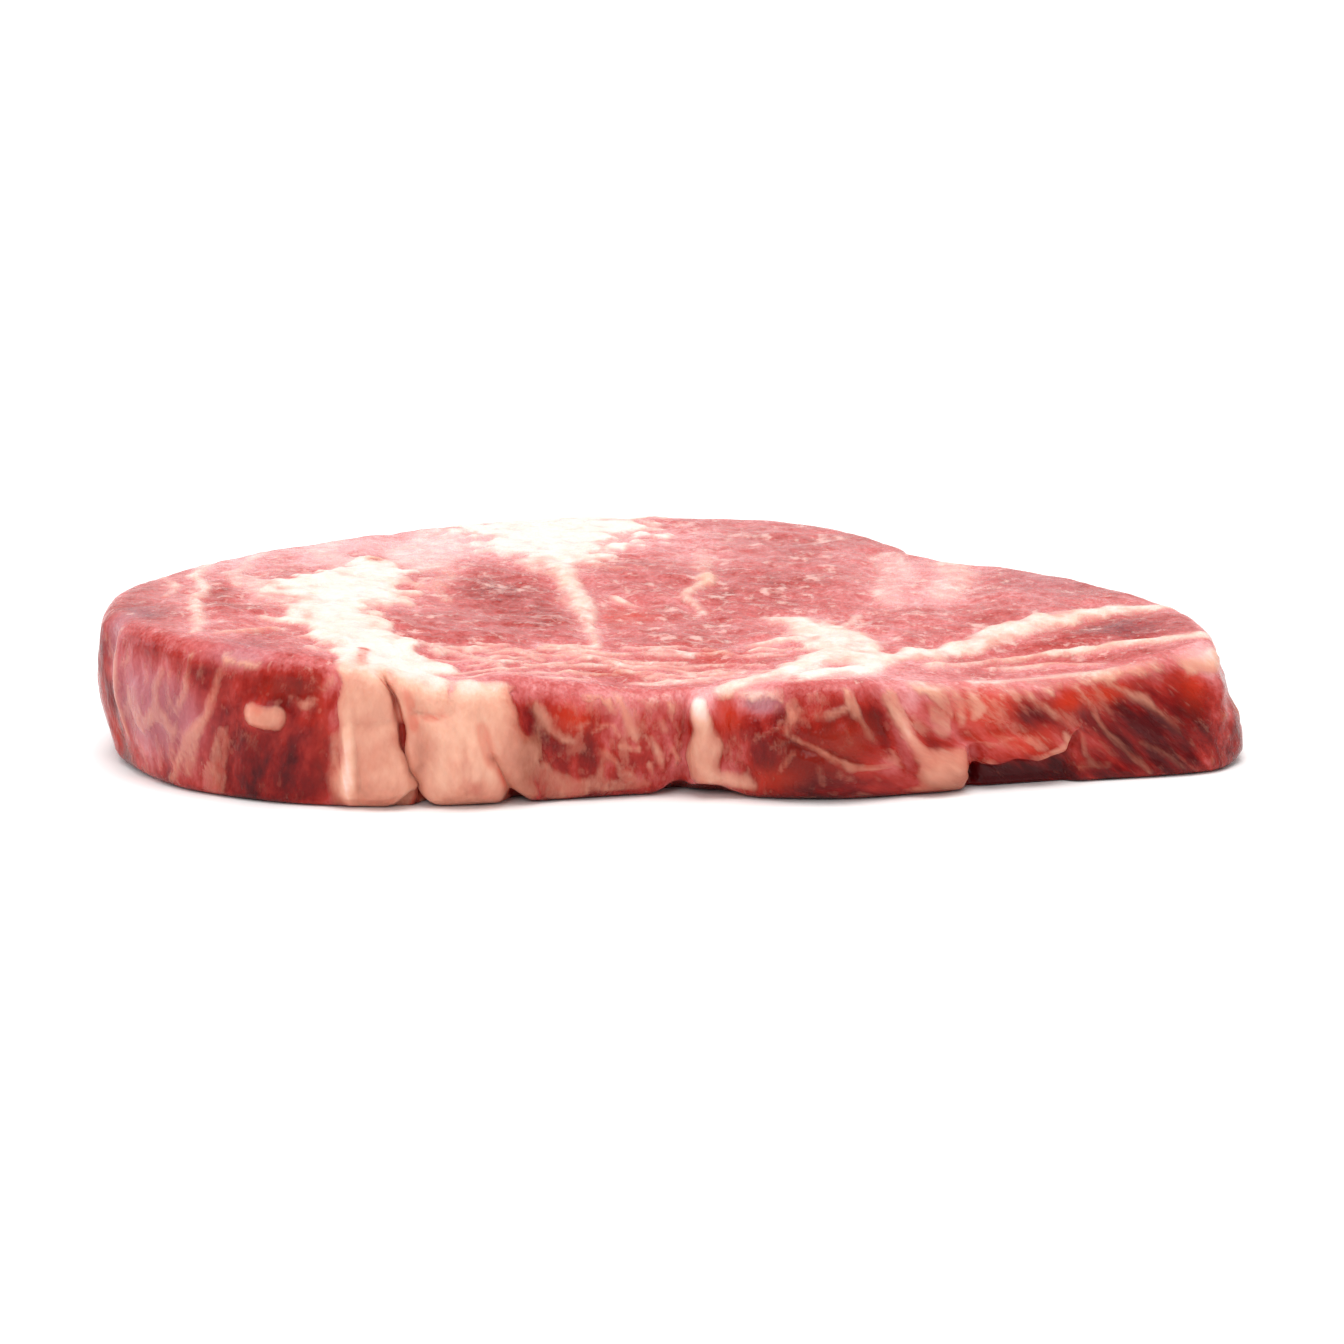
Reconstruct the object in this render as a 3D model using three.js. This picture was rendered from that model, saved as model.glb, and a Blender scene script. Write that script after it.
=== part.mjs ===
// A raw beef rib steak, one slice of meat lying flat on its cut face.
// Millimetres, +Z up. +X runs along the steak's length, and the thick fat-covered edge faces -Y.
// The origin is the centre of the steak's box, on the surface that it rests on.
import * as THREE from "three";
import { mergeVertices } from "three/addons/utils/BufferGeometryUtils.js";

// ---- Driving dimensions ------------------------------------------------------------------------

const THICKNESS = 24.9; // of the level middle of the slice
const RED_MEAT = 0xa8403c;

// The slice's outline seen from above, at its widest height, anticlockwise from the left end.
const OUTLINE = [
  [-104.3, -27.5],
  [-101.8, -42.5],
  [-94, -55.5],
  [-81.5, -66],
  [-64.5, -72],
  [-43.5, -74],
  [-20.5, -71],
  [-0.5, -67],
  [19.5, -69],
  [37.5, -68.5],
  [55.5, -62],
  [75.5, -56],
  [92.5, -51.5],
  [103.5, -46],
  [106.5, -33.5],
  [102.5, -16.5],
  [94, -1],
  [82.5, 15],
  [70.5, 25.5],
  [60, 29.5],
  [52, 40.5],
  [42.5, 56.5],
  [28.5, 68],
  [7.5, 73.5],
  [-16.5, 73.5],
  [-39.5, 66],
  [-58.5, 53.5],
  [-74, 36],
  [-86.5, 17.5],
  [-96.5, -1.5],
  [-102.3, -15.5],
];

// How the edge is shaped round the outline. at is the way round it from the left end. topIn and
// bottomIn say how far the wall leans in at its top and foot, and the rounds are the edges' radii.
const EDGE_STATIONS = [
  { at: 0, topIn: 2.5, bottomIn: 3, topRound: 3.5, bottomRound: 4 },
  { at: 22, topIn: 1.5, bottomIn: 3, topRound: 2.5, bottomRound: 3.5 },
  { at: 45, topIn: 0.5, bottomIn: 2, topRound: 2.5, bottomRound: 2.5 },
  { at: 70, topIn: 0.5, bottomIn: 1, topRound: 3, bottomRound: 1.5 },
  { at: 100, topIn: 1, bottomIn: 0.5, topRound: 6, bottomRound: 3 },
  { at: 135, topIn: 0.5, bottomIn: 1.5, topRound: 3, bottomRound: 2.5 },
  { at: 165, topIn: 0.5, bottomIn: 0.8, topRound: 2, bottomRound: 2.5 },
  { at: 205, topIn: 1, bottomIn: 0.5, topRound: 2, bottomRound: 1.5 },
  { at: 235, topIn: 3.4, bottomIn: -0.5, topRound: 2, bottomRound: 2 },
  { at: 255, topIn: 4.6, bottomIn: -1.2, topRound: 2.5, bottomRound: 2.5 },
  { at: 290, topIn: 4, bottomIn: 0.5, topRound: 2.5, bottomRound: 2 },
  { at: 340, topIn: 2, bottomIn: 1.5, topRound: 3, bottomRound: 2.5 },
  { at: 420, topIn: 2, bottomIn: 2, topRound: 3, bottomRound: 2.5 },
  { at: 500, topIn: 2, bottomIn: 2.5, topRound: 3, bottomRound: 3 },
  { at: 545, topIn: 2.5, bottomIn: 3.5, topRound: 3.5, bottomRound: 4 },
];

// Broad swells and dips of the top face, each a soft mound of the given half-sizes.
const TOP_SWELLS = [
  { name: "left shoulder", x: -88, y: -36, halfX: 36, halfY: 62, rise: 3.8 },
  { name: "pillow slope", x: -38, y: -70, halfX: 12, halfY: 22, rise: -2.6 },
  { name: "front valley", x: 0, y: -68, halfX: 26, halfY: 28, rise: -5.6 },
  { name: "thin right front", x: 68, y: -62, halfX: 34, halfY: 32, rise: -6.2 },
  { name: "dished eye", x: 8, y: -20, halfX: 48, halfY: 24, rise: -2.6 },
  { name: "seam fat", x: -45, y: 10, halfX: 45, halfY: 30, rise: 0.8 },
  { name: "right back fall", x: 76, y: 22, halfX: 34, halfY: 34, rise: -0.9 },
];

// Bulges of the edge. at is the way round the outline, z the height, and tilt turns the bulge.
const EDGE_BULGES = [
  { name: "fat nodule", at: 61.5, z: 16.3, halfAt: 3.7, halfZ: 2.6, rise: 1.7, tilt: 0 },
  { name: "fat block", at: 79, z: 11, halfAt: 5.5, halfZ: 13, rise: 1.2, tilt: 0 },
  { name: "fat pillow", at: 97, z: 10, halfAt: 9, halfZ: 11, rise: 2.4, tilt: 0 },
  { name: "fat bulb", at: 138.3, z: 16.8, halfAt: 2.4, halfZ: 2.8, rise: 1.6, tilt: 0 },
  { name: "fat column", at: 139, z: 9, halfAt: 3.2, halfZ: 8, rise: 1.1, tilt: 0 },
  { name: "dark lobe", at: 158, z: 9, halfAt: 14, halfZ: 9, rise: 1.9, tilt: 0 },
  { name: "leaning column", at: 174.5, z: 13, halfAt: 2, halfZ: 7, rise: 0.9, tilt: 28 },
  { name: "column foot", at: 182.5, z: 3.5, halfAt: 5.5, halfZ: 4.5, rise: 2, tilt: 0 },
  { name: "end corner", at: 236, z: 15, halfAt: 6, halfZ: 7, rise: 1, tilt: 0 },
  { name: "end foot", at: 252, z: 5.5, halfAt: 9, halfZ: 4.5, rise: 1.1, tilt: 0 },
  { name: "left corner", at: 25.5, z: 19, halfAt: 2.4, halfZ: 9, rise: 1.2, tilt: 0 },
  { name: "right back lobe", at: 300, z: 11, halfAt: 13, halfZ: 9, rise: 1.4, tilt: 0 },
  { name: "back roll", at: 392, z: 12, halfAt: 19, halfZ: 9, rise: 1.8, tilt: 12 },
  { name: "back shoulder", at: 449, z: 15, halfAt: 15, halfZ: 9, rise: 1.4, tilt: -8 },
  { name: "left back roll", at: 507, z: 14, halfAt: 14, halfZ: 10, rise: 1.5, tilt: 10 },
];

// Clefts and folds of the edge, each a groove along points of [way round, height].
const CLEFT_PATH = [
  [79.6, 27],
  [82.2, 23],
  [84.4, 19.5],
  [85.4, 15],
  [85.7, 11],
  [87, 6.5],
  [88.4, 4],
  [88.4, 0],
];
const FOLD_PATH = [[101.5, 9], [103.5, 4.5], [105.3, 0]];
const EDGE_GROOVES = [
  { name: "fat cleft", path: CLEFT_PATH, halfWidth: 1.4, depth: 6 },
  { name: "fat fold", path: FOLD_PATH, halfWidth: 1.6, depth: 2.2 },
  { name: "pillow seam", path: [[107, 21], [108.5, 15], [111, 10], [114, 5]], halfWidth: 2.4, depth: 1.3 },
  { name: "column left", path: [[135, 20], [135.6, 9], [134, 0]], halfWidth: 1.8, depth: 1.8 },
  { name: "column right", path: [[141.5, 18], [142.5, 10], [147, 4]], halfWidth: 2.2, depth: 1.2 },
  { name: "lobe end", path: [[170.5, 19], [172.8, 12], [176, 5]], halfWidth: 1.8, depth: 1.2 },
  { name: "foot end", path: [[188.4, 7], [188.9, 4], [188.9, 0]], halfWidth: 1.6, depth: 2.4 },
  { name: "right back seam", path: [[342, 26], [340, 14], [337, 3]], halfWidth: 3.2, depth: 2.2 },
  { name: "back cleft", path: [[421, 27], [420, 15], [418, 0]], halfWidth: 2.6, depth: 3.4 },
  { name: "left back seam", path: [[477, 27], [479, 14], [483, 2]], halfWidth: 3, depth: 2 },
  { name: "end recess", path: [[20, 24], [20, 14], [20, 6]], halfWidth: 3.4, depth: 1.2 },
];

// Where the foot of the edge lifts off the surface, and how far in under the steak that reaches.
const FOOT_LIFTS = [
  { name: "cleft notch", at: 87.4, halfAt: 2.4, rise: 3.8, reach: 6 },
  { name: "fold notch", at: 105.8, halfAt: 1.6, rise: 3.2, reach: 5 },
  { name: "arched foot", at: 133.6, halfAt: 2.5, rise: 1.6, reach: 6 },
  { name: "arch end", at: 139.5, halfAt: 5, rise: 2, reach: 6 },
  { name: "back notch", at: 418.5, halfAt: 3.5, rise: 2.4, reach: 8 },
];

// The torn flap at the right of the front edge: the meat above its lower edge overhangs.
const FLAP = {
  edge: [
    [186, 4.2],
    [190, 4.8],
    [193, 4.1],
    [197, 5],
    [200, 4.6],
    [203, 5.3],
    [205.5, 6],
    [206.6, 8.4],
    [209, 10.6],
  ],
  out: 1.1,
  undercut: 2.6,
  step: 0.9, // height over which the overhang turns into the undercut
  fade: 3, // length over which the undercut dies away at each end
  outFade: 9, // and the same for the flap's outer side
  outMargin: 4, // how much farther the outer side reaches at each end
  rowFade: 8, // length past each end over which the wall's rows stop following the flap
  row: 0.7, // the share of the wall's rows that lie above the flap's edge
};

// Mesh resolution. The slice is meshed as a square grid bent to its outline, top and bottom.
const GRID_CELLS = 40; // a side of the top grid, so the rim has four times as many
const TOP_ROUND_STEPS = 3;
const WALL_STEPS = 10;
const BOTTOM_ROUND_STEPS = 2;
const OUTLINE_SAMPLES = 2400;
// The rim's points lie closer together where the edge has narrow forms, and one lies on each of
// these places.
const FINE_STRETCHES = [
  { at: 22.5, half: 7, extra: 0.8 },
  { at: 61, half: 8, extra: 1 },
  { at: 84.6, half: 6, extra: 3.2 },
  { at: 104.3, half: 4, extra: 2.2 },
  { at: 137, half: 8, extra: 1.3 },
  { at: 188.9, half: 5, extra: 1.4 },
  { at: 204, half: 8, extra: 1.2 },
  { at: 419.5, half: 7, extra: 1.2 },
];
// The mesh's upright lines lean to follow these paths, each by its way round less this one.
const LEANS = [
  { path: CLEFT_PATH, from: 84.6, half: 9 },
  { path: FOLD_PATH, from: 104.3, half: 5 },
];
const RIM_BLEND = 0.82; // the share of the way out at which the top grid starts to follow the grooves
const RIM_RELIEF = 0.6; // the share of the edge's relief that the top rim takes
const FOOT_RELIEF = 0.5; // and the foot

// ---- Outline -----------------------------------------------------------------------------------

const outlineCurve = new THREE.CatmullRomCurve3(
  OUTLINE.map(([x, y]) => new THREE.Vector3(x, y, 0)),
  true,
  "catmullrom",
  0.5,
);
outlineCurve.arcLengthDivisions = OUTLINE_SAMPLES;
const PERIMETER = outlineCurve.getLength();

const clamp01 = (t) => Math.min(1, Math.max(0, t));
const smooth = (t) => clamp01(t) ** 2 * (3 - 2 * clamp01(t));
const bell = (t) => Math.exp(-t * t);
const wrap = (at) => ((at % PERIMETER) + PERIMETER) % PERIMETER;

// The shorter signed way round the outline from one place on it to another.
function wayBetween(at, from) {
  const way = wrap(at - from);
  return way > PERIMETER / 2 ? way - PERIMETER : way;
}

function outlinePoint(at) {
  return outlineCurve.getPointAt(wrap(at) / PERIMETER);
}

// The outline's outward direction, taken over a short stretch so that it turns smoothly.
function outward(at) {
  const along = outlinePoint(at + 2).sub(outlinePoint(at - 2)).normalize();
  return new THREE.Vector3(along.y, -along.x, 0);
}

// One of the edge's measures at a place on the outline, eased from station to station.
function edgeMeasure(at, measure) {
  const here = wrap(at);
  const next = EDGE_STATIONS.findIndex((station) => station.at > here);
  const after = EDGE_STATIONS[next < 0 ? 0 : next];
  const before = EDGE_STATIONS[(next < 0 ? EDGE_STATIONS.length : next) - 1];
  const span = (next < 0 ? PERIMETER : after.at) - before.at;
  const share = smooth((here - before.at) / span);
  return THREE.MathUtils.lerp(before[measure], after[measure], share);
}

// ---- Surface forms -----------------------------------------------------------------------------

// The distance in a plane from a point to a line of joined points.
function distanceToPath(u, v, path) {
  let nearest = Infinity;
  for (let i = 0; i + 1 < path.length; i += 1) {
    const [u0, v0] = path[i];
    const [du, dv] = [path[i + 1][0] - u0, path[i + 1][1] - v0];
    const share = clamp01(((u - u0) * du + (v - v0) * dv) / (du * du + dv * dv));
    nearest = Math.min(nearest, Math.hypot(u - u0 - share * du, v - v0 - share * dv));
  }
  return nearest;
}

function topHeight(x, y) {
  let z = THICKNESS;
  for (const swell of TOP_SWELLS) {
    z += swell.rise * bell(Math.hypot((x - swell.x) / swell.halfX, (y - swell.y) / swell.halfY));
  }
  return z;
}

// How far the edge stands out from its plain wall at a place and height.
function edgeRelief(at, z) {
  let out = 0;
  for (const bulge of EDGE_BULGES) {
    const turn = THREE.MathUtils.degToRad(bulge.tilt);
    const way = wayBetween(at, bulge.at);
    const across = way * Math.cos(turn) + (z - bulge.z) * Math.sin(turn);
    const up = (z - bulge.z) * Math.cos(turn) - way * Math.sin(turn);
    out += bulge.rise * bell(Math.hypot(across / bulge.halfAt, up / bulge.halfZ));
  }
  for (const groove of EDGE_GROOVES) {
    out -= groove.depth * bell(distanceToPath(at, z, groove.path) / groove.halfWidth);
  }
  return out + flapRelief(at, z);
}

function flapRelief(at, z) {
  const above = smooth((z - heightOnPath(at, FLAP.edge)) / FLAP.step + 0.5);
  const under = -FLAP.undercut * flapPresence(at, FLAP.fade, 0);
  return THREE.MathUtils.lerp(under, FLAP.out * flapPresence(at, FLAP.outFade, FLAP.outMargin), above);
}

// How much of the flap there is at a place, with its two ends moved apart by a margin.
function flapPresence(at, fade, margin) {
  const [first, last] = [FLAP.edge[0][0] - margin, FLAP.edge[FLAP.edge.length - 1][0] + margin];
  return smooth((at - first) / fade) * smooth((last - at) / fade);
}

// The height of a path of [way round, height] points at one place.
function heightOnPath(at, path) {
  const next = path.findIndex(([place]) => place >= at);
  if (next < 1) return next < 0 ? path[path.length - 1][1] : path[0][1];
  const [[a, za], [b, zb]] = [path[next - 1], path[next]];
  return THREE.MathUtils.lerp(za, zb, (at - a) / (b - a));
}

// The way round of a path of [way round, height] points at one height, for a path that only falls.
function placeOnPath(z, path) {
  const next = path.findIndex(([, height]) => height <= z);
  if (next < 1) return next < 0 ? path[path.length - 1][0] : path[0][0];
  const [[a, za], [b, zb]] = [path[next - 1], path[next]];
  return THREE.MathUtils.lerp(a, b, (z - za) / (zb - za));
}

// The height of the steak's foot at a place on the outline, a given way in from the edge.
function footHeight(at, wayIn) {
  let z = 0;
  for (const lift of FOOT_LIFTS) {
    z += lift.rise * bell(wayBetween(at, lift.at) / lift.halfAt) * smooth(1 - wayIn / lift.reach);
  }
  return z;
}

// ---- Edge profile ------------------------------------------------------------------------------

// The place on the outline of a mesh line's point at one height.
function leaningPlace(at, z) {
  let place = at;
  for (const { path, from, half } of LEANS) {
    place += (placeOnPath(z, path) - from) * bell(wayBetween(at, from) / half);
  }
  return place;
}

// A point on the outline moved in by a distance.
function insetPoint(at, inset) {
  return outlinePoint(at).addScaledVector(outward(at), -inset);
}

function plainRimPoint(at) {
  const inset = edgeMeasure(at, "topIn") + edgeMeasure(at, "topRound");
  return insetPoint(leaningPlace(at, THICKNESS), inset);
}

// The wall's height at a row, as a share. One row lies on each side of the flap's edge.
function rowShare(row, at, wallFoot, wallTop) {
  const even = 1 - row / WALL_STEPS;
  const pull = flapPresence(at, FLAP.rowFade, FLAP.rowFade);
  if (pull === 0) return even;
  const lip = Math.round(FLAP.row * WALL_STEPS);
  const middle = (heightOnPath(at, FLAP.edge) - wallFoot) / (wallTop - wallFoot);
  const half = FLAP.step / 2 / (wallTop - wallFoot);
  const pulled =
    row <= lip
      ? THREE.MathUtils.lerp(1, middle + half, row / lip)
      : ((middle - half) * (WALL_STEPS - row)) / (WALL_STEPS - lip - 1);
  return THREE.MathUtils.lerp(even, pulled, pull);
}

// The edge along one mesh line as points from the top face round to the bottom face.
function edgeProfile(at) {
  const [topIn, bottomIn] = [edgeMeasure(at, "topIn"), edgeMeasure(at, "bottomIn")];
  const [topRound, bottomRound] = [edgeMeasure(at, "topRound"), edgeMeasure(at, "bottomRound")];
  const inner = plainRimPoint(at);
  const rimHeight = topHeight(inner.x, inner.y);
  const foot = footHeight(leaningPlace(at, 0), 0);
  const wallTop = rimHeight - topRound;
  const wallFoot = foot + bottomRound;
  const rows = []; // each row is how far in, how high, and how much of the relief it takes
  for (let i = 0; i < TOP_ROUND_STEPS; i += 1) {
    const turn = (Math.PI / 2) * (i / TOP_ROUND_STEPS);
    const inset = topIn + topRound * (1 - Math.sin(turn));
    const relief = THREE.MathUtils.lerp(RIM_RELIEF, 1, Math.sin(turn));
    rows.push([inset, rimHeight - topRound * (1 - Math.cos(turn)), relief]);
  }
  for (let i = 0; i <= WALL_STEPS; i += 1) {
    const share = rowShare(i, at, wallFoot, wallTop);
    const inset = topIn * share ** 2 + bottomIn * (1 - share) ** 3;
    rows.push([inset, THREE.MathUtils.lerp(wallFoot, wallTop, share), 1]);
  }
  for (let i = 1; i <= BOTTOM_ROUND_STEPS; i += 1) {
    const turn = (Math.PI / 2) * (i / BOTTOM_ROUND_STEPS);
    const inset = bottomIn + bottomRound * (1 - Math.cos(turn));
    const relief = THREE.MathUtils.lerp(1, FOOT_RELIEF, Math.sin(turn));
    rows.push([inset, foot + bottomRound * (1 - Math.sin(turn)), relief]);
  }
  return rows.map(([inset, z, share]) => {
    const here = leaningPlace(at, z);
    const point = insetPoint(here, inset - share * edgeRelief(here, z));
    point.z = z;
    return point;
  });
}

// ---- Meshing -----------------------------------------------------------------------------------

// Places round the outline for evenly numbered rim points, closer where FINE_STRETCHES says.
function rimPlaces(count) {
  const travelled = [0];
  for (let i = 0; i < OUTLINE_SAMPLES; i += 1) {
    const at = ((i + 0.5) * PERIMETER) / OUTLINE_SAMPLES;
    let density = 1;
    for (const stretch of FINE_STRETCHES) {
      density += stretch.extra * bell(wayBetween(at, stretch.at) / stretch.half);
    }
    travelled.push(travelled[i] + density);
  }
  const places = [];
  let sample = 0;
  for (let i = 0; i < count; i += 1) {
    const wanted = (travelled[OUTLINE_SAMPLES] * i) / count;
    while (travelled[sample + 1] <= wanted) sample += 1;
    const share = (wanted - travelled[sample]) / (travelled[sample + 1] - travelled[sample]);
    places.push(((sample + share) * PERIMETER) / OUTLINE_SAMPLES);
  }
  for (const stretch of FINE_STRETCHES) {
    const off = places.map((place) => Math.abs(wayBetween(place, stretch.at)));
    places[off.indexOf(Math.min(...off))] = stretch.at;
  }
  return places;
}

// A point of a square from -1 to 1 as its share of the way out to the rim and of the way round it.
function squareToRim(a, b) {
  const out = Math.max(Math.abs(a), Math.abs(b));
  if (out === 0) return { out, round: 0 };
  const flat = Math.abs(a) >= Math.abs(b);
  const start = flat ? (a > 0 ? 0.5 : 0) : b > 0 ? 0.75 : 0.25;
  const round = start + (flat ? b / a : -a / b) / 8;
  return { out, round: (round + 1) % 1 };
}

// The point a share of the way round a closed ring of points.
function onRing(ring, round) {
  const place = round * ring.length;
  const whole = Math.round(place);
  if (Math.abs(place - whole) < 1e-6) return ring[whole % ring.length].clone();
  const low = Math.floor(place);
  return ring[low].clone().lerp(ring[(low + 1) % ring.length], place - low);
}

const rim = rimPlaces(4 * GRID_CELLS);
const profiles = rim.map(edgeProfile);
const plainRim = rim.map(plainRimPoint);
const topRing = profiles.map((profile) => profile[0]);
const triangles = [];

function addTriangle(a, b, c) {
  triangles.push(a.x, a.y, a.z, b.x, b.y, b.z, c.x, c.y, c.z);
}

function addQuad(a, b, c, d) {
  addTriangle(a, b, c);
  addTriangle(a, c, d);
}

// Fills a face with a square grid bent to its ring. place gives the point for a share out and round.
function addFace(cells, place, facesUp) {
  const at = (i, j) => {
    const { out, round } = squareToRim((2 * i) / cells - 1, (2 * j) / cells - 1);
    return place(out, round);
  };
  for (let i = 0; i < cells; i += 1) {
    for (let j = 0; j < cells; j += 1) {
      const corners = [at(i, j), at(i + 1, j), at(i + 1, j + 1), at(i, j + 1)];
      if (!facesUp) corners.reverse();
      addQuad(...corners);
    }
  }
}

// A point of the top face. Towards the rim it follows the edge's clefts more and more.
function topPlace(out, round) {
  const edge = onRing(topRing, round);
  if (out === 1) return edge;
  const follow = smooth((out - RIM_BLEND) / (1 - RIM_BLEND));
  const target = onRing(plainRim, round).lerp(edge, follow);
  return new THREE.Vector3(target.x * out, target.y * out, topHeight(target.x * out, target.y * out));
}

// The bottom grid has half as many cells a side, so its ring takes every second rim point.
const bottomRing = profiles.map((profile) => profile[profile.length - 1]);
const BOTTOM_CELLS = GRID_CELLS / 2;
const BOTTOM_SHRINK = 0.965; // the bottom grid's ring, a short step in from the edge's last row

function bottomPlace(out, round) {
  const edge = onRing(bottomRing, round);
  const at = onPlaces(round);
  const share = out * BOTTOM_SHRINK;
  const wayIn = Math.hypot(edge.x, edge.y) * (1 - share);
  return new THREE.Vector3(edge.x * share, edge.y * share, footHeight(at, wayIn));
}

// The place on the outline a share of the way round the rim's points.
function onPlaces(round) {
  const place = (round * rim.length) % rim.length;
  const low = Math.floor(place);
  const next = low + 1 < rim.length ? rim[low + 1] : PERIMETER;
  return rim[low] + (next - rim[low]) * (place - low);
}

function addWall() {
  profiles.forEach((profile, i) => {
    const next = profiles[(i + 1) % profiles.length];
    for (let row = 0; row + 1 < profile.length; row += 1) {
      addQuad(profile[row], profile[row + 1], next[row + 1], next[row]);
    }
  });
}

// Joins the edge's last row to the bottom grid's ring, two steps of one to one of the other.
function addBottomBand() {
  const count = bottomRing.length;
  for (let i = 0; i < count; i += 2) {
    const [a, b, c] = [bottomRing[i], bottomRing[i + 1], bottomRing[(i + 2) % count]];
    const near = bottomPlace(1, i / count);
    const far = bottomPlace(1, ((i + 2) % count) / count);
    addTriangle(a, near, b);
    addTriangle(b, near, far);
    addTriangle(b, far, c);
  }
}

addFace(GRID_CELLS, topPlace, true);
addWall();
addBottomBand();
addFace(BOTTOM_CELLS, bottomPlace, false);

const soup = new THREE.BufferGeometry();
soup.setAttribute("position", new THREE.Float32BufferAttribute(triangles, 3));
soup.computeBoundingBox();
const middle = soup.boundingBox.getCenter(new THREE.Vector3());
soup.translate(-middle.x, -middle.y, -soup.boundingBox.min.z);
const steakGeometry = mergeVertices(soup, 1e-3);
steakGeometry.computeVertexNormals();

const rawBeef = new THREE.MeshStandardMaterial({ color: RED_MEAT, roughness: 0.35, metalness: 0 });
const steak = new THREE.Mesh(steakGeometry, rawBeef);
steak.name = "steak";

const part = new THREE.Group();
part.add(steak);

export default part;
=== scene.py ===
"""Dresses a raw beef rib steak and sets its plain studio.

The steak is one skin, meshed from the same measures as its solid, with finer relief, fat that is
drawn seam by seam, and lean whose marbling runs through the thickness of the slice. Lengths are in
millimetres until a mesh is made, and in metres from there on.
"""

from __future__ import annotations

import logging
import math
from collections.abc import Callable, Mapping, Sequence
from dataclasses import dataclass, field
from enum import Enum, IntEnum
from typing import Any

import bpy
import numpy as np
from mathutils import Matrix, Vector

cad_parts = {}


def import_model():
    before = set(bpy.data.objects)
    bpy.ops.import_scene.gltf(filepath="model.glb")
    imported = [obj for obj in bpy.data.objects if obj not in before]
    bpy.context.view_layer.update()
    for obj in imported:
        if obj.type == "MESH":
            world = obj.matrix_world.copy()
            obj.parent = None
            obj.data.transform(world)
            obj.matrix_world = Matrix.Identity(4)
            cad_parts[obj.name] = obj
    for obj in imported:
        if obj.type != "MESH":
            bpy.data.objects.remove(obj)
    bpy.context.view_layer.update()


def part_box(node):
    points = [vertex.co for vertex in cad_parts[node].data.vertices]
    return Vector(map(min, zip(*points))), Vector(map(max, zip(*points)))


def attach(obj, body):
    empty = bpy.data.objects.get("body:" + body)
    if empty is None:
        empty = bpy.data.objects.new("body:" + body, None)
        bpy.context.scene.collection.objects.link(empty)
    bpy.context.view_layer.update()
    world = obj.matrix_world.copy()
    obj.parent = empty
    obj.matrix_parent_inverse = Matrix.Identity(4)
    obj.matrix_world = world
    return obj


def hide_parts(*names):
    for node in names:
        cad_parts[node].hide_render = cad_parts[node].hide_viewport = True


LOG = logging.getLogger("steak")
MM = 0.001

Floats = np.ndarray
Ints = np.ndarray
Path = Sequence[tuple[float, float]]
Rows = Sequence[tuple[Any, ...]]
Colour = tuple[float, float, float, float]


# ---- Form --------------------------------------------------------------------------------------


def smooth(share: Floats) -> Floats:
    """Return a share eased at both ends, held to 0 and 1 outside them."""
    held = np.clip(share, 0.0, 1.0)
    return held * held * (3.0 - 2.0 * held)


def eased(value: Floats, start: Floats, end: Floats) -> Floats:
    """Return 0 up to the start and 1 from the end on, eased between them."""
    return smooth((value - start) / (end - start))


def bell(reach: Floats) -> Floats:
    """Return a soft mound's height at a distance counted in its own half-sizes."""
    return np.exp(-np.square(reach))


def blend(low: Floats, high: Floats, share: Floats) -> Floats:
    """Return the value a share of the way from low to high."""
    return low + (high - low) * share


def distance_to_path(u: Floats, v: Floats, path: Path) -> Floats:
    """Measure how far points of a plane lie from a line of joined points.

    Args:
        u: First coordinate of each point.
        v: Second coordinate of each point.
        path: The line's own points.

    Returns:
        The distance of each point.
    """
    nearest = np.full(np.broadcast(u, v).shape, np.inf)
    for (u0, v0), (u1, v1) in zip(path, path[1:]):
        du, dv = u1 - u0, v1 - v0
        share = np.clip(((u - u0) * du + (v - v0) * dv) / (du * du + dv * dv), 0.0, 1.0)
        nearest = np.minimum(nearest, np.hypot(u - u0 - share * du, v - v0 - share * dv))
    return nearest


class Outline:
    """The slice's outline seen from above, a closed smooth curve measured by its own length."""

    SAMPLES_PER_POINT = 80
    TURN_STRETCH = 2.0

    def __init__(self, points: Path) -> None:
        """Lay the curve through its points.

        Args:
            points: Points in millimetres, anticlockwise from the left end.
        """
        ring = np.array(points)
        share = np.linspace(0.0, 1.0, self.SAMPLES_PER_POINT, endpoint=False)[:, None]
        before, start, end, after = (np.roll(ring, turn, axis=0)[:, None] for turn in (1, 0, -1, -2))
        curve = 0.5 * (
            2 * start
            + (end - before) * share
            + (2 * before - 5 * start + 4 * end - after) * share**2
            + (3 * start - before - 3 * end + after) * share**3
        ).reshape(-1, 2)
        self._curve = np.vstack([curve, curve[:1]])
        steps = np.hypot(*np.diff(self._curve, axis=0).T)
        self._travelled = np.concatenate([[0.0], np.cumsum(steps)])
        self.length = float(self._travelled[-1])

    def point(self, at: Floats) -> Floats:
        """Return the points of the outline at given ways round it."""
        way = np.mod(at, self.length)
        return np.stack([np.interp(way, self._travelled, column) for column in self._curve.T], axis=-1)

    def outward(self, at: Floats) -> Floats:
        """Return the outward direction, taken over a short stretch so that it turns smoothly."""
        along = self.point(at + self.TURN_STRETCH) - self.point(at - self.TURN_STRETCH)
        return along[..., ::-1] * (1.0, -1.0) / np.linalg.norm(along, axis=-1, keepdims=True)

    def between(self, at: Floats, start: float) -> Floats:
        """Return the shorter signed way round from a place to others."""
        half = self.length / 2
        return np.mod(at - start + half, self.length) - half


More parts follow.
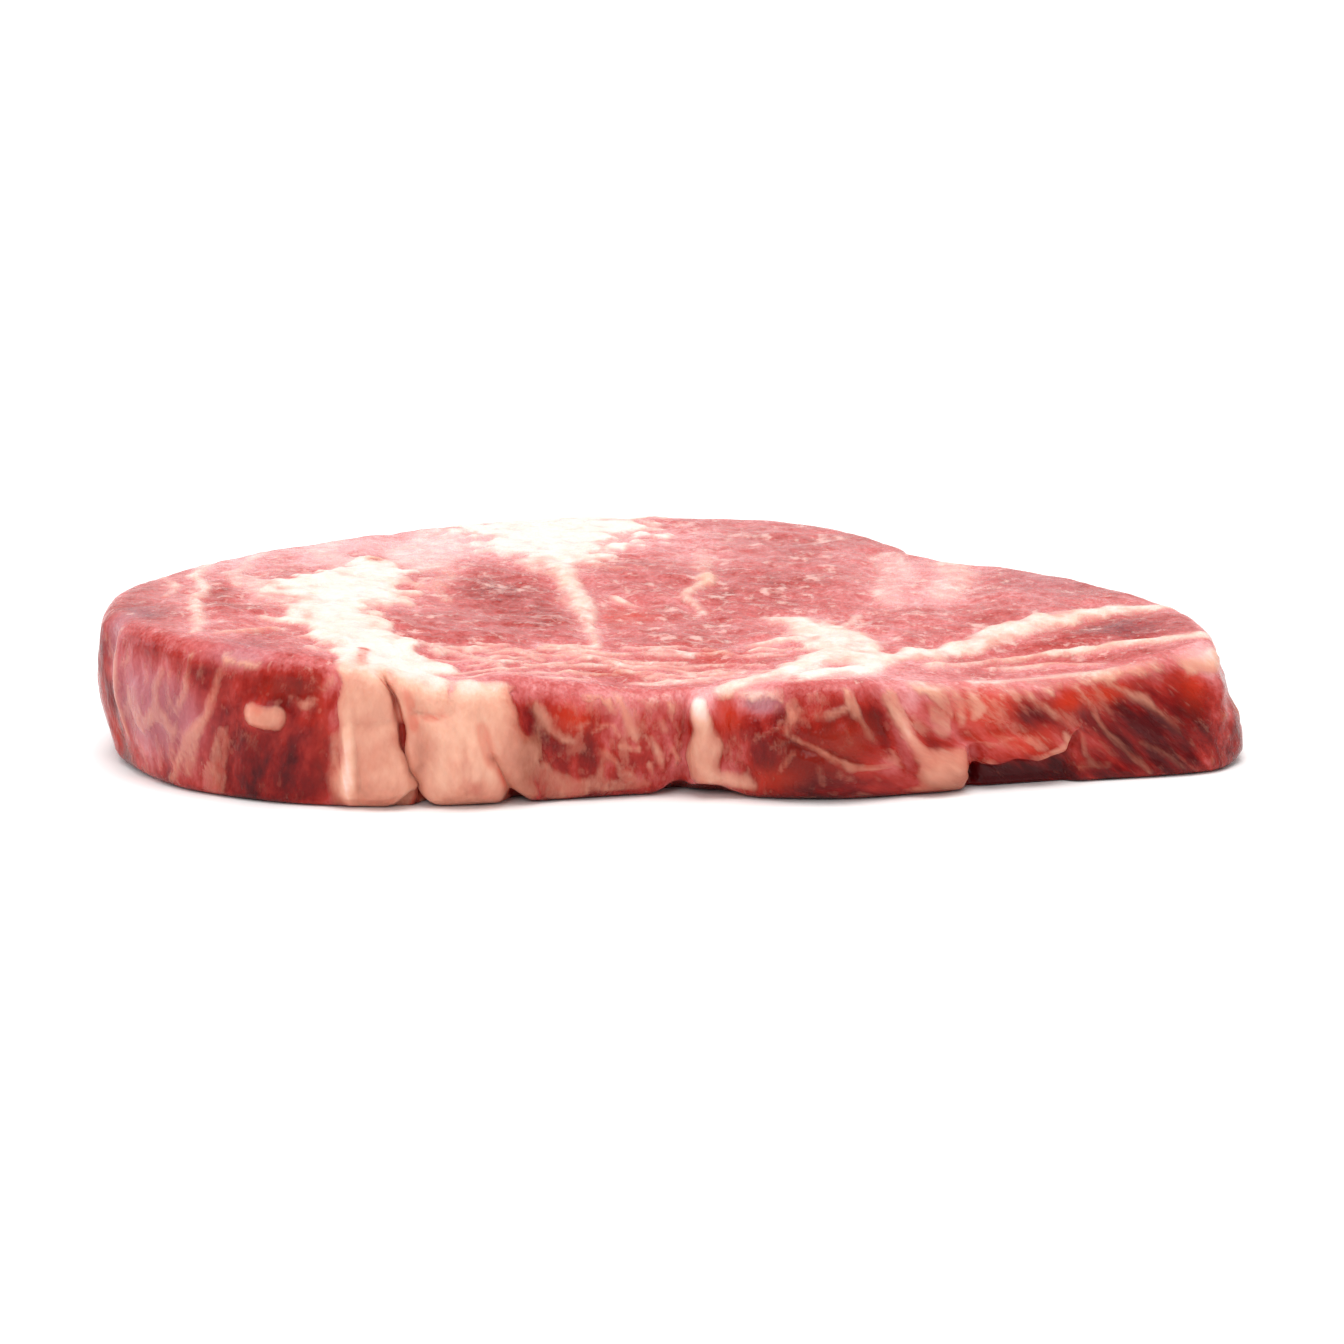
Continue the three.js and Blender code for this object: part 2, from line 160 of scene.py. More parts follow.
@dataclass(frozen=True)
class Swell:
    """A broad soft mound or dip of the top face."""

    x: float
    y: float
    half_x: float
    half_y: float
    rise: float

    def height(self, x: Floats, y: Floats) -> Floats:
        """Return the mound's height at points of the top face."""
        return self.rise * bell(np.hypot((x - self.x) / self.half_x, (y - self.y) / self.half_y))


@dataclass(frozen=True)
class Station:
    """How the edge is shaped at one place: its lean at top and foot, and its two round edges."""

    at: float
    top_in: float
    bottom_in: float
    top_round: float
    bottom_round: float


@dataclass(frozen=True)
class Bulge:
    """A soft lump of the edge."""

    at: float
    z: float
    half_at: float
    half_z: float
    rise: float
    tilt: float = 0.0

    def height(self, outline: Outline, at: Floats, z: Floats) -> Floats:
        """Return how far the lump stands out at places of the edge.

        Args:
            outline: The outline that ways round are counted on.
            at: Ways round the outline.
            z: Heights.

        Returns:
            The height at each place.
        """
        turn = math.radians(self.tilt)
        way = outline.between(at, self.at)
        across = way * math.cos(turn) + (z - self.z) * math.sin(turn)
        up = (z - self.z) * math.cos(turn) - way * math.sin(turn)
        return self.rise * bell(np.hypot(across / self.half_at, up / self.half_z))


@dataclass(frozen=True)
class Groove:
    """A cleft, seam or fold along points of a surface."""

    path: Path
    half_width: float
    depth: float

    def height(self, u: Floats, v: Floats) -> Floats:
        """Return the groove's (negative) height at points of its surface."""
        return -self.depth * bell(distance_to_path(u, v, self.path) / self.half_width)


@dataclass(frozen=True)
class FootLift:
    """A place where the edge's foot lifts off the surface, and how far in under that reaches."""

    at: float
    half_at: float
    rise: float
    reach: float


@dataclass(frozen=True)
class Flap:
    """Torn meat that overhangs the wall below its ragged lower edge.

    Attributes:
        edge: Ways round and heights of the lower edge.
        out: How far the flap stands out.
        undercut: How far the wall goes in below it.
        step: Height over which the one turns into the other.
        fade: Length over which the undercut ends at each end.
        out_fade: Length over which the flap itself does.
        out_margin: How far the flap reaches past its edge's ends.
        row_share: Share of the mesh's rows above the edge.
    """

    edge: Path
    out: float = 1.1
    undercut: float = 2.6
    step: float = 0.9
    fade: float = 3.0
    out_fade: float = 9.0
    out_margin: float = 4.0
    row_share: float = 0.7

    def edge_height(self, at: Floats) -> Floats:
        """Return the height of the flap's lower edge."""
        places, heights = np.array(self.edge).T
        return np.interp(at, places, heights)

    def presence(self, at: Floats, fade: float, margin: float) -> Floats:
        """Return how much of the flap there is, with its two ends moved apart by a margin."""
        first, last = self.edge[0][0] - margin, self.edge[-1][0] + margin
        return smooth((at - first) / fade) * smooth((last - at) / fade)

    def height(self, at: Floats, z: Floats) -> Floats:
        """Return how far the flap stands out, or its undercut goes in.

        Args:
            at: Ways round the outline.
            z: Heights.

        Returns:
            The height at each place, negative where it goes in.
        """
        above = smooth((z - self.edge_height(at)) / self.step + 0.5)
        under = -self.undercut * self.presence(at, self.fade, 0.0)
        over = self.out * self.presence(at, self.out_fade, self.out_margin)
        return blend(under, over, above)


@dataclass(frozen=True)
class Lean:
    """A path that the mesh's upright lines follow near it, so that its groove stays clean."""

    path: Path
    start: float
    half: float

    def shift(self, outline: Outline, at: Floats, z: Floats) -> Floats:
        """Return how far the mesh lines lean along the outline at a height.

        Args:
            outline: The outline that ways round are counted on.
            at: Way round of each mesh line.
            z: Height.

        Returns:
            The shift of each line at that height.
        """
        places, heights = np.array(self.path).T
        lean = np.interp(z, heights[::-1], places[::-1]) - self.start
        return lean * bell(outline.between(at, self.start) / self.half)


@dataclass(frozen=True)
class FineStretch:
    """A stretch of the rim whose mesh points lie closer together."""

    at: float
    half: float
    extra: float


@dataclass
class SteakForm:
    """The steak's shape, in millimetres, from the same measures as its solid.

    Places on its edge are a way round the outline and a height.
    """

    outline: Outline
    thickness: float
    swells: Sequence[Swell]
    stations: Sequence[Station]
    bulges: Sequence[Bulge]
    grooves: Sequence[Groove]
    foot_lifts: Sequence[FootLift]
    flap: Flap
    leans: Sequence[Lean]

    def top_height(self, x: Floats, y: Floats) -> Floats:
        """Return the height of the top face."""
        return self.thickness + sum(swell.height(x, y) for swell in self.swells)

    def edge_relief(self, at: Floats, z: Floats) -> Floats:
        """Return how far the edge stands out from its plain wall."""
        lumps = sum(bulge.height(self.outline, at, z) for bulge in self.bulges)
        return lumps + sum(groove.height(at, z) for groove in self.grooves) + self.flap.height(at, z)

    def foot_height(self, at: Floats, way_in: Floats) -> Floats:
        """Return the height of the foot at a place, a given way in from the edge.

        Args:
            at: Ways round the outline.
            way_in: Distances from the edge.

        Returns:
            The height at each place.
        """
        return sum(
            lift.rise
            * bell(self.outline.between(at, lift.at) / lift.half_at)
            * smooth(1.0 - way_in / lift.reach)
            for lift in self.foot_lifts
        )

    def measure(self, at: Floats, name: str) -> Floats:
        """Return one of the edge's measures, eased from station to station.

        Args:
            at: Ways round the outline.
            name: Name of the measure.

        Returns:
            The measure at each place.
        """
        places = np.array([station.at for station in self.stations])
        values = np.array([getattr(station, name) for station in self.stations])
        places, values = np.append(places, self.outline.length), np.append(values, values[0])
        way = np.mod(at, self.outline.length)
        low = np.clip(np.searchsorted(places, way, side="right") - 1, 0, len(places) - 2)
        share = smooth((way - places[low]) / (places[low + 1] - places[low]))
        return blend(values[low], values[low + 1], share)

    def leaning_place(self, at: Floats, z: Floats) -> Floats:
        """Return the place on the outline of a mesh line's point at one height."""
        return at + sum(lean.shift(self.outline, at, z) for lean in self.leans)

    def inset_point(self, at: Floats, inset: Floats) -> Floats:
        """Return points of the outline moved in by a distance."""
        return self.outline.point(at) - self.outline.outward(at) * np.asarray(inset)[..., None]

    def plain_rim(self, at: Floats) -> Floats:
        """Return the top face's rim without the edge's lumps and clefts."""
        inset = self.measure(at, "top_in") + self.measure(at, "top_round")
        return self.inset_point(self.leaning_place(at, self.thickness), inset)


# ---- Measures ----------------------------------------------------------------------------------

# The slice seen from above, anticlockwise from the left end.
OUTLINE_POINTS: Path = (
    (-104.3, -27.5), (-101.8, -42.5), (-94, -55.5), (-81.5, -66), (-64.5, -72), (-43.5, -74),
    (-20.5, -71), (-0.5, -67), (19.5, -69), (37.5, -68.5), (55.5, -62), (75.5, -56), (92.5, -51.5),
    (103.5, -46), (106.5, -33.5), (102.5, -16.5), (94, -1), (82.5, 15), (70.5, 25.5), (60, 29.5),
    (52, 40.5), (42.5, 56.5), (28.5, 68), (7.5, 73.5), (-16.5, 73.5), (-39.5, 66), (-58.5, 53.5),
    (-74, 36), (-86.5, 17.5), (-96.5, -1.5), (-102.3, -15.5),
)
# Cleft and fold of the fat, as ways round and heights from the top down.
CLEFT_PATH: Path = (
    (79.6, 27), (82.2, 23), (84.4, 19.5), (85.4, 15), (85.7, 11), (87, 6.5), (88.4, 4), (88.4, 0),
)
FOLD_PATH: Path = ((101.5, 9), (103.5, 4.5), (105.3, 0))
# Mounds and dips of the top face: x, y, two half-sizes and rise.
SWELLS: Rows = (
    (-88, -36, 36, 62, 3.8),  # left shoulder
    (-38, -70, 12, 22, -2.6),  # pillow slope
    (0, -68, 26, 28, -5.6),  # front valley
    (68, -62, 34, 32, -6.2),  # thin right front
    (8, -20, 48, 24, -2.6),  # dished eye
    (-45, 10, 45, 30, 0.8),  # seam fat
    (76, 22, 34, 34, -0.9),  # right back fall
)
# Edge: way round, lean at top and foot, and roundness at top and foot.
STATIONS: Rows = (
    (0, 2.5, 3, 3.5, 4),
    (22, 1.5, 3, 4, 3.5),
    (45, 0.5, 2, 4, 2.5),
    (70, 0.5, 1, 4, 1.5),
    (100, 1, 0.5, 6, 3),
    (135, 0.5, 1.5, 3, 2.5),
    (165, 0.5, 0.8, 3, 2.5),
    (205, 1, 0.5, 3, 1.5),
    (235, 3.4, -0.5, 3, 2),
    (255, 4.6, -1.2, 2.5, 2.5),
    (290, 4, 0.5, 2.5, 2),
    (340, 2, 1.5, 3, 2.5),
    (420, 2, 2, 3, 2.5),
    (500, 2, 2.5, 3, 3),
    (545, 2.5, 3.5, 3.5, 4),
)
# Lumps of the edge: way round, height, two half-sizes, rise and tilt in degrees.
BULGES: Rows = (
    (61.5, 16.3, 3.7, 2.6, 1.7),  # fat nodule
    (79, 11, 5.5, 13, 1.2),  # fat block
    (97, 10, 9, 11, 2.4),  # fat pillow
    (138.3, 16.8, 2.4, 2.8, 1.6),  # fat bulb
    (139, 9, 3.2, 8, 1.1),  # fat column
    (158, 9, 14, 9, 1.9),  # dark lobe
    (174.5, 13, 2, 7, 0.9, 28),  # leaning column
    (182.5, 3.5, 5.5, 4.5, 2),  # column foot
    (236, 15, 6, 7, 1),  # end corner
    (252, 5.5, 9, 4.5, 1.1),  # end foot
    (25.5, 19, 2.4, 9, 1.2),  # left corner
    (300, 11, 13, 9, 1.4),  # right back lobe
    (392, 12, 19, 9, 1.8, 12),  # back roll
    (449, 15, 15, 9, 1.4, -8),  # back shoulder
    (507, 14, 14, 10, 1.5, 10),  # left back roll
    (76.2, 6, 0.8, 8, 0.9),  # pale ridge of the fat block
    (82.4, 5, 4.4, 4.4, 1),  # its lower facet
    (89.6, 9, 2.6, 5.5, -1.4, 18),  # flank beside the cleft
    (81, 20, 2.6, 3.4, 0.6, -20),  # its upper lobe
    (92, 14.2, 4.2, 3.2, 0.8, -16),  # upper facet of the pillow
    (95.5, 7, 4.6, 4.4, 0.9, 22),  # lower facet
    (96, 21.8, 4.5, 1.9, 0.8),  # its upper fold
    (104.5, 14, 2.4, 5.5, 0.6, 18),  # its right facet
    (32, 17, 2.4, 4, 0.5, 30),  # left corner's soft lumps
    (49, 20, 2.5, 3, 0.5, -30),
    (116, 15, 3.2, 3, 0.7),
    (125, 6.5, 4.5, 3, 0.6, 25),
    (150, 12.5, 4, 2.8, 0.8, 20),  # folds of the dark lobe
    (161, 6.6, 5.5, 2.6, 0.8, -12),
    (165, 14.4, 3.4, 2.6, 0.7, 35),
    (192, 15.4, 3.6, 2.8, 0.8, 30),  # lumps of the orange lean
    (208, 15.4, 4.4, 2.4, 0.8, 25),
    (200.5, 18.2, 2.6, 1.6, 0.8),
    (219, 17.6, 5, 2.2, 0.6, 15),
)
# Clefts and creases of the edge: path, half width and depth.
GROOVES: Rows = (
    (CLEFT_PATH, 0.7, 2.2),
    (CLEFT_PATH[5:], 0.9, 1.8),
    (FOLD_PATH, 1.4, 1.4),
    (((107, 21), (108.5, 15), (111, 10), (114, 5)), 2.4, 1.3),  # pillow seam
    (((135, 20), (135.6, 9), (134, 0)), 1.8, 1.8),  # left of the fat column
    (((141.5, 18), (142.5, 10), (147, 4)), 2.2, 1.2),  # right of the fat column
    (((170.5, 19), (172.8, 12), (176, 5)), 1.8, 1.2),  # end of the dark lobe
    (((188.4, 7), (188.9, 4), (188.9, 0)), 1.6, 2.4),  # end of the column's foot
    (((342, 26), (340, 14), (337, 3)), 3.2, 2.2),  # right back seam
    (((421, 27), (420, 15), (418, 0)), 2.6, 3.4),  # back cleft
    (((477, 27), (479, 14), (483, 2)), 3, 2),  # left back seam
    (((20, 24), (20, 14), (20, 6)), 3.4, 1.2),  # recess by the left end
    (((87.8, 17.2), (91, 16.9), (94.6, 17.6)), 0.7, 0.9),  # creases of the fat
    (((99.6, 15.5), (100.2, 12), (100.8, 8.8)), 1.3, 0.7),
    (((88, 22.6), (88.4, 18), (89.4, 13)), 0.8, 0.6),
    (((76.4, 1.6), (81, 1.3), (84.8, 2.4)), 0.7, 0.7),
    (((77.6, 14), (78, 9), (78.4, 3)), 0.8, 0.5),
    (((76.5, 15.6), (80, 15.2), (84, 15.8)), 0.8, 0.5),
    (((152.4, 16), (155, 10.6), (161, 9.4), (166, 7.4)), 1, 0.8),  # lobe's folds
    (((186, 10), (192, 11.2), (198, 10.6)), 1, 0.8),  # under the orange lean
)
# Notches under the edge: way round, half width, rise and reach inwards.
FOOT_LIFTS: Rows = (
    (87.4, 2.4, 3.6, 4),  # cleft notch
    (105.8, 1.6, 2.9, 3),  # fold notch
    (133.6, 2.5, 1.6, 4),  # arched foot
    (139.5, 5, 2, 4),
    (418.5, 3.5, 2.4, 8),  # back notch
)
# Ragged lower edge of the flap: ways round and heights.
FLAP_EDGE: Path = (
    (186, 4.2), (190, 4.8), (193, 4.1), (197, 5), (200, 4.6), (203, 5.3), (205.5, 6),
    (206.6, 8.4), (209, 10.6),
)
# Finer stretches of the mesh: way round, half length and how much denser.
FINE_STRETCHES: Rows = (
    (22.5, 7, 0.8), (61, 8, 1), (84.6, 6, 3.2), (104.3, 4, 2.2), (137, 8, 1.3), (188.9, 5, 1.4),
    (204, 8, 1.2), (419.5, 7, 1.2),
)


def each(kind: Callable[..., Any], rows: Rows) -> tuple[Any, ...]:
    """Return one thing of a kind for each row of its measures."""
    return tuple(kind(*row) for row in rows)


def steak_form() -> SteakForm:
    """Put the steak's form together from its tables.

    Returns:
        The form, with the measures of its solid and its finer relief.
    """
    return SteakForm(
        outline=Outline(OUTLINE_POINTS),
        thickness=24.9,
        swells=each(Swell, SWELLS),
        stations=each(Station, STATIONS),
        bulges=each(Bulge, BULGES),
        grooves=each(Groove, GROOVES),
        foot_lifts=each(FootLift, FOOT_LIFTS),
        flap=Flap(FLAP_EDGE),
        leans=(Lean(CLEFT_PATH, 84.6, 9), Lean(FOLD_PATH, 104.3, 5)),
    )


# ---- Mesh --------------------------------------------------------------------------------------


class Face(IntEnum):
    """The three faces of the slice that a mesh point can lie on."""

    TOP = 0
    EDGE = 1
    UNDER = 2


@dataclass
class Skin:
    """The steak's surface as a mesh, with where each of its points lies.

    Attributes:
        points: Points in millimetres.
        quads: Four point numbers for each four-sided face.
        triangles: Three point numbers for each three-sided face.
        face: The face of the slice that each point lies on.
        at: Way round the outline of each point, or of the rim point nearest to it.
        height: Height of each point on the plain edge, without its relief.
        out: Share of the way out to the rim of each point of the top and underside.
    """

    points: Floats
    quads: Ints
    triangles: Ints
    face: Ints
    at: Floats
    height: Floats
    out: Floats


@dataclass
class SkinBuilder:
    """Meshes the form as a square grid bent to its outline on top and below, and a wall.

    Attributes:
        form: The form.
        grid_cells: How many cells the top's grid has along a side.
        top_round_steps: How many rows of faces round the top rim.
        wall_steps: How many rows of faces the plain wall has.
        bottom_round_steps: How many rows of faces round the bottom rim.
        fine_stretches: Stretches of the edge with more upright mesh lines.
        rim_samples: How many samples of the outline the mesh lines are counted from.
        rim_blend: Share of the way out at which the top's grid starts to follow the rim's relief.
        bottom_shrink: Size of the underside's grid, as a share of the last row.
        flap_margin: Length past the flap over which its edge still pulls the rows.
        top_relief: Share of the edge's relief at the top rim.
        under_relief: Share of the edge's relief at the bottom rim.
    """

    form: SteakForm
    grid_cells: int = 212
    top_round_steps: int = 7
    wall_steps: int = 22
    bottom_round_steps: int = 5
    fine_stretches: Sequence[FineStretch] = each(FineStretch, FINE_STRETCHES)
    rim_samples: int = 2400
    rim_blend: float = 0.82
    bottom_shrink: float = 0.992
    flap_margin: float = 8.0
    top_relief: float = 0.6
    under_relief: float = 0.5
    _rim: Floats = field(init=False, repr=False)
    _rows: Floats = field(init=False, repr=False)
    _row_heights: Floats = field(init=False, repr=False)
    _row_places: Floats = field(init=False, repr=False)

    def build(self) -> Skin:
        """Mesh the whole surface.

        Returns:
            The steak's skin, closed, with its faces pointing out.
        """
        self._rim = self._rim_places(4 * self.grid_cells)
        self._rows, self._row_heights, self._row_places = self._edge_rows(self._rim)
        top_points, top_index, top_out, top_round = self._top_grid()
        wall_start = len(top_points)
        row_count, rim_count = self._rows.shape[:2]
        wall = wall_start + np.arange(row_count * rim_count).reshape(row_count, rim_count)
        top_index = np.where(top_index < 0, wall_start - 1 - top_index, top_index)
        under_points, under_index, under_out, under_round = self._under_grid()
        under_start = wall_start + row_count * rim_count
        under_index = under_index + under_start
        under_quads = self._grid_quads(under_index)[:, ::-1]
        under_height = np.zeros(len(under_points))
        return Skin(
            points=np.vstack([top_points, self._rows.reshape(-1, 3), under_points]),
            quads=np.vstack([self._grid_quads(top_index), self._wall_quads(wall), under_quads]),
            triangles=self._band_triangles(wall[-1], under_index),
            face=np.repeat(list(Face), [wall_start, wall.size, len(under_points)]),
            at=np.concatenate(
                [self._places(top_round), self._row_places.ravel(), self._places(under_round)]
            ),
            height=np.concatenate([top_points[:, 2], self._row_heights.ravel(), under_height]),
            out=np.concatenate([top_out, np.ones(wall.size), under_out]),
        )

    def _rim_places(self, count: int) -> Floats:
        """Return the ways round of the rim's points, closer together on the fine stretches.

        Args:
            count: How many points.

        Returns:
            The ways round, in order.
        """
        outline = self.form.outline
        step = outline.length / self.rim_samples
        middles = (np.arange(self.rim_samples) + 0.5) * step
        density = 1.0 + sum(
            stretch.extra * bell(outline.between(middles, stretch.at) / stretch.half)
            for stretch in self.fine_stretches
        )
        travelled = np.concatenate([[0.0], np.cumsum(density)])
        wanted = travelled[-1] * np.arange(count) / count
        places = np.interp(wanted, travelled, np.arange(self.rim_samples + 1) * step)
        for stretch in self.fine_stretches:
            places[np.argmin(np.abs(outline.between(places, stretch.at)))] = stretch.at
        return places

    def _places(self, turn: Floats) -> Floats:
        """Return the ways round the outline at shares of the way round the rim's points."""
        ends = np.append(self._rim, self.form.outline.length)
        return np.interp(np.mod(turn, 1.0) * len(self._rim), np.arange(len(ends)), ends)

    def _row_share(self, row: int, at: Floats, foot: Floats, top: Floats) -> Floats:
        """Return the wall's height at a row, as a share, with a row each side of the flap's edge.

        Args:
            row: The row's number, from the top.
            at: Way round of each mesh line.
            foot: Height of the wall's foot there.
            top: Height of its top.

        Returns:
            The share at each mesh line, from 0 at the foot to 1 at the top.
        """
        even = 1.0 - row / self.wall_steps
        flap = self.form.flap
        lip = round(flap.row_share * self.wall_steps)
        middle = (flap.edge_height(at) - foot) / (top - foot)
        half = flap.step / 2 / (top - foot)
        if row <= lip:
            pulled = blend(1.0, middle + half, row / lip)
        else:
            pulled = (middle - half) * (self.wall_steps - row) / (self.wall_steps - lip - 1)
        return blend(even, pulled, flap.presence(at, self.flap_margin, self.flap_margin))

    def _edge_rows(self, at: Floats) -> tuple[Floats, Floats, Floats]:
        """Lay the edge's rows of points from the top face round to the underside.

        Args:
            at: Way round the outline of each upright mesh line.

        Returns:
            The rows of points, the height of each, and the way round of each.
        """
        form = self.form
        top_in, bottom_in = form.measure(at, "top_in"), form.measure(at, "bottom_in")
        top_round, bottom_round = form.measure(at, "top_round"), form.measure(at, "bottom_round")
        rim_height = form.top_height(*form.plain_rim(at).T)
        foot = form.foot_height(form.leaning_place(at, 0.0), 0.0)
        wall_top, wall_foot = rim_height - top_round, foot + bottom_round
        plan = []
        for step in range(self.top_round_steps):
            turn = math.pi / 2 * step / self.top_round_steps
            inset = top_in + top_round * (1.0 - math.sin(turn))
            share = blend(self.top_relief, 1.0, math.sin(turn))
            plan.append((inset, rim_height - top_round * (1.0 - math.cos(turn)), share))
        for row in range(self.wall_steps + 1):
            share = self._row_share(row, at, wall_foot, wall_top)
            inset = top_in * share**2 + bottom_in * (1.0 - share) ** 3
            plan.append((inset, blend(wall_foot, wall_top, share), 1.0))
        for step in range(1, self.bottom_round_steps + 1):
            turn = math.pi / 2 * step / self.bottom_round_steps
            inset = bottom_in + bottom_round * (1.0 - math.cos(turn))
            share = blend(1.0, self.under_relief, math.sin(turn))
            plan.append((inset, foot + bottom_round * (1.0 - math.sin(turn)), share))
        rows = []
        for inset, height, share in plan:
            here = form.leaning_place(at, height)
            point = form.inset_point(here, inset - share * form.edge_relief(here, height))
            rows.append(np.column_stack([point, height, here]))
        rows = np.array(rows)
        return rows[..., :3], rows[..., 2], rows[..., 3]

    @staticmethod
    def _square_to_rim(cells: int) -> tuple[Floats, Floats]:
        """Return a square grid's points as shares of the way out to the rim and of the way round.

        Args:
            cells: How many cells the grid has along a side.

        Returns:
            The two shares, each as a square array.
        """
        ticks = np.linspace(-1.0, 1.0, cells + 1)
        a, b = np.meshgrid(ticks, ticks, indexing="ij")
        out = np.maximum(np.abs(a), np.abs(b))
        flat = np.abs(a) >= np.abs(b)
        safe_a, safe_b = np.where(a == 0, 1.0, a), np.where(b == 0, 1.0, b)
        start = np.where(flat, np.where(a > 0, 0.5, 0.0), np.where(b > 0, 0.75, 0.25))
        turn = start + np.where(flat, b / safe_a, -a / safe_b) / 8.0
        return out, np.mod(turn, 1.0)

    @staticmethod
    def _on_ring(ring: Floats, turn: Floats) -> Floats:
        """Return the points shares of the way round a closed ring of points.

        Args:
            ring: The ring.
            turn: Shares of the way round it.

        Returns:
            The points.
        """
        place = np.round(turn * len(ring), 6)
        low = np.floor(place).astype(int)
        share = (place - low)[..., None]
        return blend(ring[low % len(ring)], ring[(low + 1) % len(ring)], share)

    def _top_grid(self) -> tuple[Floats, Ints, Floats, Floats]:
        """Lay the top face's points inside its rim.

        Returns:
            The points, the grid's point numbers with the rim's as -1 less its number, and each
            point's shares of the way out and of the way round.
        """
        form = self.form
        out, turn = self._square_to_rim(self.grid_cells)
        inside = out < 1.0 - 1e-9
        rim_number = np.round(turn * 4 * self.grid_cells).astype(int) % (4 * self.grid_cells)
        index = np.where(inside, np.cumsum(inside).reshape(inside.shape) - 1, -1 - rim_number)
        out, turn = out[inside], turn[inside]
        follow = smooth((out - self.rim_blend) / (1.0 - self.rim_blend))[:, None]
        plain = self._on_ring(form.plain_rim(self._rim), turn)
        target = blend(plain, self._on_ring(self._rows[0], turn)[:, :2], follow) * out[:, None]
        points = np.column_stack([target, form.top_height(*target.T)])
        return points, index, out, turn

    def _under_grid(self) -> tuple[Floats, Ints, Floats, Floats]:
        """Lay the underside's points, with half as many cells a side as the top.

        Returns:
            The points, the grid's point numbers, and each point's shares of the way out and round.
        """
        out, turn = self._square_to_rim(self.grid_cells // 2)
        out, turn = out.ravel(), turn.ravel()
        edge = self._on_ring(self._rows[-1], turn)[:, :2]
        share = out * self.bottom_shrink
        way_in = np.hypot(*edge.T) * (1.0 - share)
        height = self.form.foot_height(self._places(turn), way_in)
        side = self.grid_cells // 2 + 1
        index = np.arange(side * side).reshape(side, side)
        return np.column_stack([edge * share[:, None], height]), index, out, turn

    @staticmethod
    def _grid_quads(index: Ints) -> Ints:
        """Return a grid's four-sided faces."""
        corners = (index[:-1, :-1], index[1:, :-1], index[1:, 1:], index[:-1, 1:])
        return np.stack(corners, axis=-1).reshape(-1, 4)

    @staticmethod
    def _wall_quads(wall: Ints) -> Ints:
        """Return the wall's four-sided faces, with the last mesh line joined to the first."""
        following = np.roll(wall, -1, axis=1)
        return np.stack([wall[:-1], wall[1:], following[1:], following[:-1]], axis=-1).reshape(-1, 4)

    def _band_triangles(self, ring: Ints, under: Ints) -> Ints:
        """Join the edge's last row to the underside's grid, two steps of one to one of the other.

        Args:
            ring: Point numbers of the edge's last row.
            under: Point numbers of the underside's grid.

        Returns:
            The faces, three point numbers each.
        """
        out, turn = self._square_to_rim(self.grid_cells // 2)
        on_rim = out > 1.0 - 1e-9
        half = 2 * self.grid_cells
        order = np.round(turn[on_rim] * half).astype(int) % half
        inner = np.empty(half, dtype=int)
        inner[order] = under[on_rim]
        a, b, c = ring[0::2], ring[1::2], np.roll(ring, -2)[0::2]
        near, far = inner, np.roll(inner, -1)
        corners = [(a, near, b), (b, near, far), (b, far, c)]
        return np.vstack([np.column_stack(corner) for corner in corners])


# ---- Pattern -----------------------------------------------------------------------------------


class On(Enum):
    """The surface that a drawn place is counted on: by x and y, or by way round and height."""

    TOP = "top"
    EDGE = "edge"


@dataclass(frozen=True)
class Ripple:
    """Smooth noise about 1 high, made of waves of about one size in random directions."""

    size: float
    seed: int
    waves: int = 14
    spread: tuple[float, float] = (0.6, 1.7)

    def height(self, points: Floats) -> Floats:
        """Return the noise at points in space.

        Args:
            points: The points.

        Returns:
            The noise at each.
        """
        draw = np.random.default_rng(self.seed)
        ways = draw.normal(size=(3, self.waves))
        ways *= draw.uniform(*self.spread, self.waves) * math.tau / self.size / np.linalg.norm(ways, axis=0)
        phases = draw.uniform(0.0, math.tau, self.waves)
        return np.sin(points @ ways + phases).sum(axis=1) * math.sqrt(2.0 / self.waves)


@dataclass(frozen=True)
class Seam:
    """A line or body of fat drawn on one surface; lines of painted shade in clefts are drawn the same way.

    Attributes:
        on: The surface.
        soft: How many times softer than a clean cut its outline is.
        most: The greatest depth inside the fat, where 0 is half way to lean.
        knots: The line's points on the surface, each with the half width there.
    """

    on: On
    soft: float
    most: float
    knots: Rows


def drawn(on: On, lines: Rows) -> list[Seam]:
    """Return seams from rows that hold their softness, greatest depth and knots."""
    return [Seam(on, soft, most, knots) for soft, most, *knots in lines]


@dataclass(frozen=True)
class Wash:
    """A soft patch of one surface, with how much darker, warmer and more flecked the lean is there; some
    patches paint shade and some paint highlights.
    """

    on: On
    u: float
    v: float
    half_u: float
    half_v: float
    dark: float = 0.0
    warm: float = 0.0
    fleck: float = 0.0


